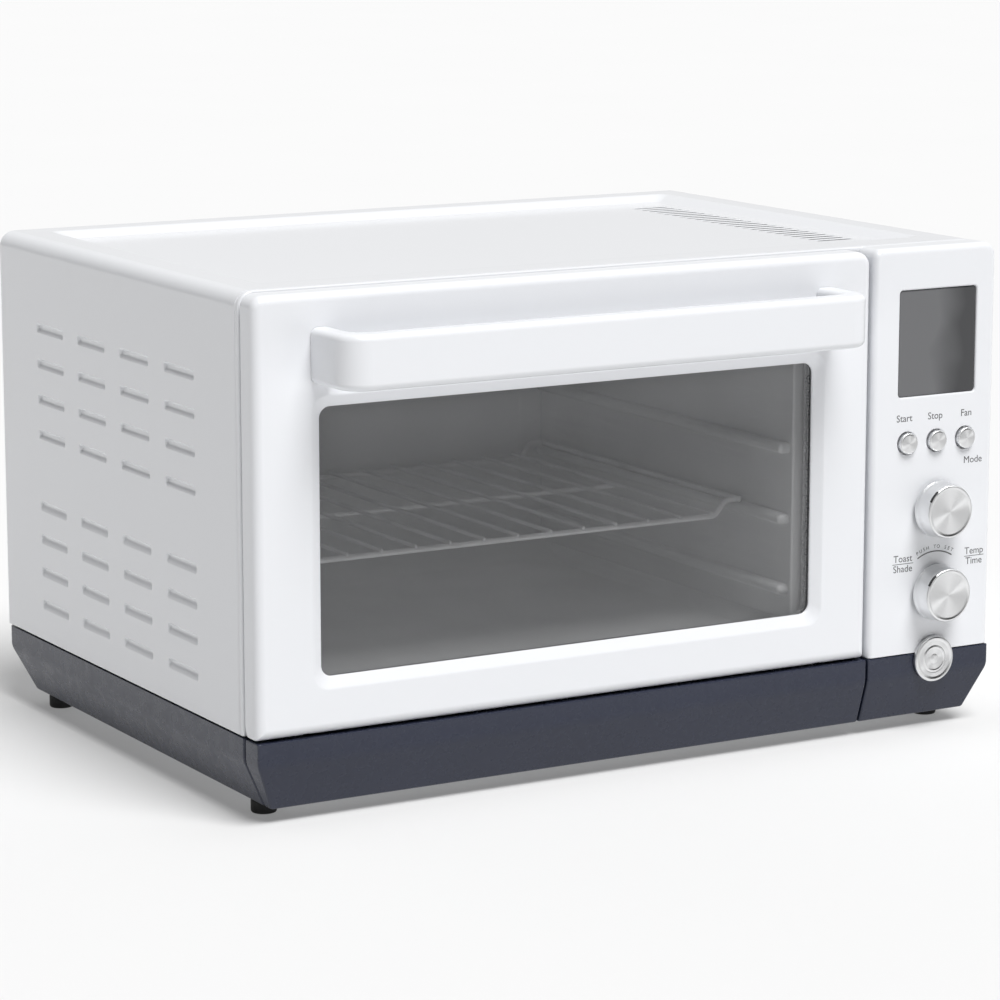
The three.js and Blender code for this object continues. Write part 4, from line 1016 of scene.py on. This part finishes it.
def build_rack():
    skin = Skin()
    for x in RAIL_X:
        rail = [(x, y, RAIL_Z) for y in (RACK_FRONT - 1.2, 0, RACK_REAR + 1.2)]
        tube(skin, rail, RAIL_RADIUS, 14)
    for y in (RACK_FRONT, RACK_REAR):
        left, right = RAIL_X
        stations = [(left - 0.8, RAIL_Z), (left + 9, RAIL_Z), (left + 16, GRID_Z), (-40, GRID_Z),
                    (right - 16, GRID_Z), (right - 9, RAIL_Z), (right + 0.8, RAIL_Z)]
        tube(skin, rounded_path([(x, y, z) for x, z in stations], 6), RAIL_RADIUS, 14)
    first, last = RAIL_X[0] + 20, RAIL_X[1] - 20
    cross_z = GRID_Z + 2.3
    for k in range(13):
        x = first + (last - first) * k / 12
        wire = [(x, y, cross_z) for y in (RACK_FRONT - 2.2, 20, RACK_REAR + 2.2)]
        tube(skin, wire, 1.15, 10)
    tube(skin, [(first - 3, 25, cross_z - 2.1), (last + 3, 25, cross_z - 2.1)], 1.5, 12)
    piece("rack_wires", skin, ["wire_rack"], sharp=60)


# ---- Door ----

DOOR = {"left": -235.0, "right": 148.4, "bottom": 46.8, "top": 278.6, "front": -150.0, "rear": -135.0}
DOOR_EDGE = 5.0
DOOR_BACK = (-231.7, 145.1, 50.5, 274.8)
WINDOW = {"left": -196.0, "right": 111.0, "bottom": 76.8, "top": 218.8, "corner": 6.0}


def door_ring(y, inset, bottom_inset):
    corners = (max(1.6 - inset, 0.5), max(8 - inset, 1.2), max(7 - inset, 1.2), max(1.6 - inset, 0.5))
    return on_y(y, rect_ring(DOOR["left"] + inset, DOOR["right"] - inset, DOOR["bottom"] + bottom_inset,
                             DOOR["top"] - inset, corners, 8))


def window_ring(y, grow, corner, steps=6):
    return on_y(y, rect_ring(WINDOW["left"] - grow, WINDOW["right"] + grow, WINDOW["bottom"] - grow,
                             WINDOW["top"] + grow, corner, steps))


def bottom_round(y):
    """How far the door's lower edge is drawn up at a depth, so that it turns clear about the hinge."""
    offset = y - HINGE_Y
    radius = 6.0 if offset < 0 else 9.0
    if 0 <= offset < 6.7:
        return 0.0
    return 6.0 - math.sqrt(max(radius * radius - offset * offset, 0.0))


def door_rings():
    rings = []
    rear_arc = [9 * math.cos(math.radians(a)) for a in (8, 18, 28, 38, 41.8)]
    rings.append(door_ring(DOOR["rear"], 0.6, 6.0))
    rings += [door_ring(HINGE_Y + reach, 0, bottom_round(HINGE_Y + reach)) for reach in rear_arc]
    rings.append(door_ring(HINGE_Y, 0, 0))
    for drawn, rise in quarter(8):
        y = DOOR["front"] + DOOR_EDGE * (1 - rise)
        rings.append(door_ring(y, DOOR_EDGE * drawn, bottom_round(y)))
    rings += [window_ring(y, grow, WINDOW["corner"] + grow * 0.5, 8) for y, grow in
              ((-150, 7.0), (-149.9, 6.3), (-149.55, 5.6), (-147.1, 1.3), (-146.7, 0.55), (-146.2, 0.15),
               (-145.3, 0.15), (-145.05, 0.5), (-145, 10.5), (-147.4, 10.5))]
    rings += [door_ring(-147.4, PLASTIC, 9), door_ring(DOOR["rear"], PLASTIC, 9)]
    return rings


def build_door_frame():
    skin = Skin()
    skin.loft(door_rings(), joined=True)
    cutters = []
    for x in ARM_X:
        cutters.append(block((x - 2.4, HINGE_Y - 3.4, DOOR["bottom"] - 1), (x + 2.4, -130, HINGE_Z + 5.5)))
        cutters.append(block((x + 2, HINGE_Y - 3.4, DOOR["bottom"] + 2.5), (x + 9, -130, HINGE_Z + 5.5)))
        cutters.append(rod((x - 13, HINGE_Y, HINGE_Z), (x + 13, HINGE_Y, HINGE_Z), 1.85))
    for x in HANDLE_SCREW_X:
        cutters.append(rod((x, -151, HANDLE_Z), (x, -140, HANDLE_Z), 2.3))
    piece("door_moulding", carved(skin, cutters), ["door_frame"])


def build_door_glass():
    skin = Skin()
    box = (WINDOW["left"] - 7, WINDOW["right"] + 7, WINDOW["bottom"] - 7, WINDOW["top"] + 7)
    levels = ((-144.7, 0.7), (-144.4, 0.2), (-144.0, 0), (-141.4, 0), (-141.0, 0.2), (-140.7, 0.7))
    skin.closed_loft(inset_rings(on_y, box, 4, levels))
    piece("door_pane", skin, ["door_glass"])


def build_door_inner_panel():
    skin = Skin()
    x0, x1, z0, z1 = DOOR_BACK
    outline = [(x1, z0), *rect_ring(x0, x1, z0, z1, 4)[7:21], (x0, z0)]
    for x in ARM_X:
        outline += [(x - 3, z0), (x - 3, HINGE_Z + 8), (x + 10, HINGE_Z + 8), (x + 10, z0)]
    outer = skin.ring(on_y(DOOR["rear"], outline))
    steps = ((-135, 3.4), (-135.1, 2.3), (-135.7, 1.2), (-136.6, 0.85), (-140.3, 0.8))
    made = skin.loft([window_ring(y, 1 + grow, WINDOW["corner"] + grow) for y, grow in steps])
    skin.fill((0, 1, 0), outer, made[0])
    piece("door_back_sheet", skin, ["door_inner_panel"], away_from=(-43, -600, 140), sheet=0.75)


HANDLE = {"left": -202.5, "right": 122.5, "front": -190.0, "rear": -150.3, "bottom": 232.0, "top": 261.0}
HANDLE_BAR, HANDLE_LEG, HANDLE_CORNER, HANDLE_INNER = 14.0, 12.0, 15.0, 6.0
HANDLE_EDGE = 3.8
HANDLE_Z = (HANDLE["bottom"] + HANDLE["top"]) / 2
HANDLE_SCREW_X = (HANDLE["left"] + HANDLE_LEG / 2, HANDLE["right"] - HANDLE_LEG / 2)


def handle_side(corner, radius, leg_x, front):
    """One side of the handle's plan, from the left leg's end round the bar to the right leg's end."""
    centre_y = front + radius
    arc = [math.radians(90) * k / 10 for k in range(11)]
    middle = (HANDLE["left"] + HANDLE["right"]) / 2
    half = (HANDLE["right"] - HANDLE["left"]) / 2
    left = [(middle - half + corner - radius * math.cos(a), centre_y - radius * math.sin(a)) for a in arc]
    right = [(2 * middle - x, y) for x, y in left[::-1]]
    return [(middle - half + leg_x, HANDLE["rear"]), *left, *right, (middle + half - leg_x, HANDLE["rear"])]


def handle_plan(inset):
    """The outer side's points and the inner side's, in matching order."""
    outer = handle_side(HANDLE_CORNER, HANDLE_CORNER - inset, inset, HANDLE["front"] + inset)
    inner = handle_side(HANDLE_LEG + HANDLE_INNER, HANDLE_INNER + inset, HANDLE_LEG - inset,
                        HANDLE["front"] + HANDLE_BAR - inset)
    return outer, inner


def build_handle():
    skin = Skin()
    edge = HANDLE_EDGE
    levels = [(edge * (1 - rise), HANDLE["bottom"] + edge * drawn) for drawn, rise in quarter(6)]
    levels += [(edge * drawn, HANDLE["top"] - edge * (1 - rise)) for drawn, rise in quarter(6)]
    rings = []
    for inset, z in levels:
        outer, inner = handle_plan(inset)
        rings.append(on_z(z, outer + inner[::-1]))
    made = skin.loft(rings)
    count = len(made[0]) // 2
    for ring in (made[0], made[-1]):
        skin.bridge(ring[:count], ring[count:][::-1], closed=False)
    holes = [rod((x, HANDLE["rear"] - 14, HANDLE_Z), (x, HANDLE["rear"] + 2, HANDLE_Z), 2.3)
             for x in HANDLE_SCREW_X]
    piece("handle_bar", carved(skin, holes), ["door_handle"])


def build_door_hardware():
    for side, x in (("left", ARM_X[0]), ("right", ARM_X[1])):
        skin = Skin()
        tube(skin, [(x + along, HINGE_Y, HINGE_Z) for along in (-10.6, 0, 10.6)], 1.5, 20)
        piece(f"hinge_pin_{side}_rod", skin, [f"hinge_pin_{side}"])
        skin = Skin()
        turns, steps = 5, 20
        coil = []
        for k in range(turns * steps + 1):
            angle = 2 * math.pi * k / steps
            coil.append((x + 3.4 + 4.4 * k / (turns * steps), HINGE_Y + 2.22 * math.cos(angle),
                         HINGE_Z + 2.22 * math.sin(angle)))
        tube(skin, coil, 0.4, 8)
        piece(f"hinge_spring_{side}_coil", skin, [f"hinge_spring_{side}"])


# ---- Control panel, display, buttons, dials and badge ----

PANEL = {"left": 150.5, "right": 235.0, "bottom": 46.1, "top": 279.5, "front": -150.0, "rear": -133.0}
PANEL_SKIN = -147.5
BUTTONS = {"start_button": 174.6, "cancel_button": 194.9, "fan_button": 215.0}
BUTTON_Z = 168.5
DIAL_X = 195.5
DIALS = {"mode_knob": 129.4, "temp_knob": 81.1}
DISPLAY = (168.3, 221.1, 195.1, 255.0)
BADGE_PLACE = (195, -150.3, 42)


def panel_ring(y, share, wall=0.0):
    """The panel's outline; share draws in the rounded front edges, and wall the inner surface."""
    left, right, top, bottom = 3 * share + wall, 4 * share + wall, 4 * share + wall, 0.5 * share + wall
    corners = tuple(max(r - 4 * share - wall, 0.6) for r in (1.2, 8, 5, 1.2))
    return on_y(y, rect_ring(PANEL["left"] + left, PANEL["right"] - right, PANEL["bottom"] + bottom,
                             PANEL["top"] - top, corners, 8))


def panel_hole(skin, outline):
    """A hole through the panel with a rounded front edge; outline(grow) gives its points."""
    steps = ((-150, 1.1), (-149.93, 0.72), (-149.7, 0.38), (-149.3, 0.12), (-148.7, 0), (PANEL_SKIN, 0))
    made = skin.loft([on_y(y, outline(grow)) for y, grow in steps])
    return made[0], made[-1]


def build_control_panel():
    skin = Skin()
    side = [panel_ring(PANEL["rear"], 0.1), panel_ring(PANEL["rear"] - 0.4, 0)]
    side += [panel_ring(PANEL["front"] + 4 * (1 - rise), drawn) for drawn, rise in quarter(8)]
    outer = skin.loft(side)
    inner = skin.loft([panel_ring(PANEL_SKIN, 0, PLASTIC), panel_ring(PANEL["rear"], 0, PLASTIC)])
    skin.bridge(inner[-1], outer[0])
    gap = 0.3
    x0, x1, z0, z1 = DISPLAY[0] - gap, DISPLAY[1] + gap, DISPLAY[2] - gap, DISPLAY[3] + gap
    holes = [panel_hole(skin, lambda g: rect_ring(x0 - g, x1 + g, z0 - g, z1 + g, 2 + g))]
    for x in BUTTONS.values():
        holes.append(panel_hole(skin, lambda g, x=x: circle(x, BUTTON_Z, 6.55 + g * 0.6, 40)))
    for z in DIALS.values():
        holes.append(panel_hole(skin, lambda g, z=z: circle(DIAL_X, z, 3.8 + g, 32)))
    skin.fill((0, -1, 0), outer[-1], *[front for front, _ in holes])
    skin.fill((0, 1, 0), inner[0], *[back for _, back in holes])
    piece("panel_moulding", skin, ["control_panel"])


def build_display():
    skin = Skin()
    levels = ((-149.3, 0.55), (-149.22, 0.2), (-149.0, 0), (-148.0, 0), (-147.8, 0.2))
    skin.closed_loft(inset_rings(on_y, DISPLAY, 1.8, levels))
    piece("display_window", skin, ["display_lens"])
    x0, x1, z0, z1 = DISPLAY
    skin = Skin()
    soft_box(skin, (x0 + 3, -147.2, z0 + 3), (x1 - 3, -136.3, z1 - 3), 0.6)
    piece("display_block", skin, ["display_module"])


def build_buttons():
    profile = [(0, -152.6), (2.5, -152.58), (4.6, -152.5), (5.2, -152.44), (5.6, -152.3), (5.85, -152.05),
               (5.97, -151.7), (6, -151.3), (6, -147), (7.4, -147), (7.6, -146.8), (7.6, -146), (7.4, -145.8),
               (2, -145.8), (2, -141.2), (1.8, -141), (0, -141)]
    for node, x in BUTTONS.items():
        turned_piece(node + "_cap", node, profile, (x, 0, BUTTON_Z), "Y", 56, sharp=60)


def build_dials():
    base, cap = -152.2, -164.5
    shaft_ends = {"mode_knob": -142.6, "temp_knob": -144.6}
    for node, z in DIALS.items():
        end = shaft_ends[node]
        profile = [(0, cap + 0.5), (6, cap + 0.47), (12.6, cap + 0.36), (13.4, cap + 0.28),
                   (13.8, cap + 0.06), (14.2, cap), (14.6, cap + 0.08), (15.05, cap + 0.45),
                   (15.3, cap + 1.0), (15.45, cap + 3), (15.7, base - 4), (15.85, base - 2.4),
                   (16.0, base - 1.7), (16.25, base - 1.2), (16.3, base - 0.8), (16.3, base - 0.25),
                   (16.1, base), (3, base), (3, end), (0, end)]
        turned_piece(node + "_cap", node, profile, (DIAL_X, 0, z), "Y", 96, sharp=60)
        build_dial_mark(node, z, cap)


def build_dial_mark(node, z, cap):
    """The short dark line on a dial's rim that shows where it points."""
    skin = Skin()
    angles = [math.radians(126 + 28 * k / 8) for k in range(9)]
    rings = []
    for radius, y in ((14.85, cap + 0.1), (15.32, cap + 0.6), (15.4, cap + 1.0), (15.46, cap + 1.5),
                      (15.2, cap + 1.5), (14.7, cap + 0.3)):
        rings.append([(DIAL_X + radius * math.cos(a), y, z + radius * math.sin(a)) for a in angles])
    made = skin.loft(rings, closed=False, joined=True)
    skin.cap([ring[0] for ring in made])
    skin.cap([ring[-1] for ring in made])
    piece(node + "_mark", skin, [], body=BODY_OF[node], material=MATERIALS["black_plastic"])


def build_badge():
    """The round badge: a satin disc with plain turned rings."""
    profile = [(0, 0), (13, 0), (13.4, -0.3), (13.4, -1.6), (13.2, -2.3), (12.8, -2.75), (12.2, -3),
               (11.5, -2.95), (10.9, -2.6), (10.4, -2.45), (8.4, -2.5), (8.1, -2.3), (7.8, -2.3), (7.5, -2.6),
               (6.9, -2.75), (6.3, -2.6), (6.0, -2.35), (3.4, -2.4), (3.1, -2.25), (2.8, -2.3), (2.5, -2.4),
               (0, -2.4)]
    turned_piece("badge_disc", "badge", profile, BADGE_PLACE, "Y", 64, sharp=60)


LABELS = [("Start", 172.3, 181.0), ("Stop", 193.8, 181.0), ("Fan", 215.6, 181.0), ("Mode", 221.0, 153.6),
          ("Toast", 173.2, 100.3), ("Shade", 173.2, 94.4), ("Temp", 223.4, 100.3), ("Time", 223.4, 94.4)]
TEXT_SIZE = 5.7
# The lines between two labels, one above the other.
DIVIDERS = ((166.0, 180.6), (216.6, 230.4))
DIVIDER_Z = 99.1
ARC_LABEL = "PUSH TO SET"
ARC_CENTRE = (195.5, 81.1)
ARC_RADIUS, ARC_TEXT_RADIUS = 23.3, 25.0
ARC_TEXT_SIZE, ARC_TEXT_STEP = 2.9, 5.6


def add_text(skin, text, place, size, turn=0.0):
    """Adds plain lettering to the skin, flat on the panel's face."""
    curve = bpy.data.curves.new("lettering", "FONT")
    curve.body = text
    curve.align_x = "CENTER"
    curve.size = size
    curve.extrude = 0.03
    curve.resolution_u = 4
    holder = bpy.data.objects.new("lettering", curve)
    bpy.context.scene.collection.objects.link(holder)
    bpy.context.view_layer.update()
    evaluated = holder.evaluated_get(bpy.context.evaluated_depsgraph_get())
    mesh = bpy.data.meshes.new_from_object(evaluated)
    stand_up = Matrix.Rotation(math.radians(90), 4, "X")
    spin = Matrix.Rotation(-turn, 4, "Y")
    mesh.transform(Matrix.Translation((place[0], -150.03, place[1])) @ spin @ stand_up)
    skin.bm.from_mesh(mesh)
    bpy.data.objects.remove(holder)
    bpy.data.curves.remove(curve)
    bpy.data.meshes.remove(mesh)


def printed_line(skin, points, width):
    """A thin raised line of ink through points on the panel's face."""
    rings = []
    for k, (x, z) in enumerate(points):
        (xa, za), (xb, zb) = points[max(k - 1, 0)], points[min(k + 1, len(points) - 1)]
        length = math.hypot(xb - xa, zb - za)
        nx, nz = -(zb - za) / length * width / 2, (xb - xa) / length * width / 2
        rings.append([(x + nx, -150.0, z + nz), (x + nx, -150.06, z + nz),
                      (x - nx, -150.06, z - nz), (x - nx, -150.0, z - nz)])
    skin.closed_loft(rings)


def on_arc(radius, angle):
    return (ARC_CENTRE[0] + radius * math.cos(angle), ARC_CENTRE[1] + radius * math.sin(angle))


def build_labels():
    skin = Skin()
    for text, x, z in LABELS:
        add_text(skin, text, (x, z), TEXT_SIZE)
    for x0, x1 in DIVIDERS:
        printed_line(skin, [(x0, DIVIDER_Z), (x1, DIVIDER_Z)], 0.35)
    printed_line(skin, [on_arc(ARC_RADIUS, math.radians(121 - 62 * k / 24)) for k in range(25)], 0.7)
    for k, letter in enumerate(ARC_LABEL):
        angle = math.radians(90 + ARC_TEXT_STEP * ((len(ARC_LABEL) - 1) / 2 - k))
        if letter != " ":
            add_text(skin, letter, on_arc(ARC_TEXT_RADIUS, angle), ARC_TEXT_SIZE, angle - math.radians(90))
    piece("panel_lettering", skin, [], body="housing", material=INK)


# ---- Pieces behind the panels, finished from their CAD shapes ----

HIDDEN_NODES = {
    "crumb_tray": 0.25, "fan_blade": 0.25, "fan_motor": 0.8, "thermal_cutoff": 0.6, "heat_shield": 0.2,
    "mode_encoder": 0.5, "temp_encoder": 0.5, "temp_plunger": 0.3, "control_board": 0.2, "power_board": 0.2,
    "transformer": 0.8, "heater_relay": 0.6, "handle_screw_left": 0.3, "handle_screw_right": 0.3,
}


def build_hidden_pieces():
    for node, bevel in HIDDEN_NODES.items():
        refined(node, bevel)


# ---- Floor and lights ----

# The sun is a wide soft box over the front; its angle is in degrees.
SUN_FROM = (0.05, -0.46, 0.88)
SUN_STRENGTH = 3.45
SUN_ANGLE = 32
# The floor runs this many metres each way, out to the horizon.
FLOOR_REACH = 30
PAPER_GLOW = 0.2
ROOM_FILL = 0.02
# The brighter wall lies in this direction, behind the oven to the right.
WALL_TOWARD = (0.45, 0.75, 0.48)
WALL_STRENGTH = 0.6


def build_floor():
    mesh = bpy.data.meshes.new("floor")
    reach = FLOOR_REACH
    mesh.from_pydata([(-reach, -reach, 0), (reach, -reach, 0), (reach, reach, 0), (-reach, reach, 0)], [],
                     [(0, 1, 2, 3)])
    floor = bpy.data.objects.new("floor", mesh)
    bpy.context.scene.collection.objects.link(floor)
    paper = Finish("studio_paper", 0.9, Specular_IOR_Level=0.0, Emission_Strength=PAPER_GLOW)
    paper.shader.inputs["Emission Color"].default_value = (1, 1, 1, 1)
    cloud = paper.spread(paper.noise(3, 3), 0, 1)
    paper.colour(paper.between(cloud, (0.618, 0.618, 0.618), (0.622, 0.622, 0.622)))
    mesh.materials.append(paper.material)


def build_world():
    """A dim studio room with one brighter wall; the camera sees the room as plain white."""
    world = bpy.data.worlds.new("studio")
    bpy.context.scene.world = world
    world.use_nodes = True
    tree = world.node_tree
    background = tree.nodes["Background"]
    background.inputs["Color"].default_value = (1, 1, 1, 1)
    facing = tree.nodes.new("ShaderNodeVectorMath")
    facing.operation = "DOT_PRODUCT"
    facing.inputs[1].default_value = WALL_TOWARD
    tree.links.new(tree.nodes.new("ShaderNodeTexCoord").outputs["Generated"], facing.inputs[0])
    wall = tree.nodes.new("ShaderNodeMapRange")
    wall.interpolation_type = "SMOOTHSTEP"
    wall.inputs["From Max"].default_value = 1.0
    wall.inputs["To Min"].default_value = ROOM_FILL
    wall.inputs["To Max"].default_value = ROOM_FILL + WALL_STRENGTH
    tree.links.new(facing.outputs["Value"], wall.inputs["Value"])
    strength = tree.nodes.new("ShaderNodeMath")
    strength.operation = "MAXIMUM"
    tree.links.new(wall.outputs["Result"], strength.inputs[0])
    tree.links.new(tree.nodes.new("ShaderNodeLightPath").outputs["Is Camera Ray"], strength.inputs[1])
    tree.links.new(strength.outputs[0], background.inputs["Strength"])


def build_lights():
    data = bpy.data.lights.new("key", "SUN")
    data.energy = SUN_STRENGTH
    data.angle = math.radians(SUN_ANGLE)
    key = bpy.data.objects.new("key", data)
    key.rotation_euler = Vector(SUN_FROM).to_track_quat("Z", "Y").to_euler()
    bpy.context.scene.collection.objects.link(key)
    bpy.context.scene.view_settings.view_transform = "Standard"


build_outer_shell()
build_base_shell()
build_base_pan()
build_feet()
build_skirt("drawer_front", "front_skirt", -235.0, 149.3, (11.2, 0, 8.2, 0))
build_skirt("panel_foot", "panel_skirt", 150.5, 235.0, (0, 11.2, 8.2, 0))
build_rear_cover()
build_rear_hardware()
build_front_frame()
build_cavity_sheets()
build_cavity_floor()
build_elements()
build_rack()
build_door_frame()
build_door_glass()
build_door_inner_panel()
build_handle()
build_door_hardware()
build_control_panel()
build_display()
build_buttons()
build_dials()
build_badge()
build_labels()
build_hidden_pieces()
build_floor()
build_world()
build_lights()
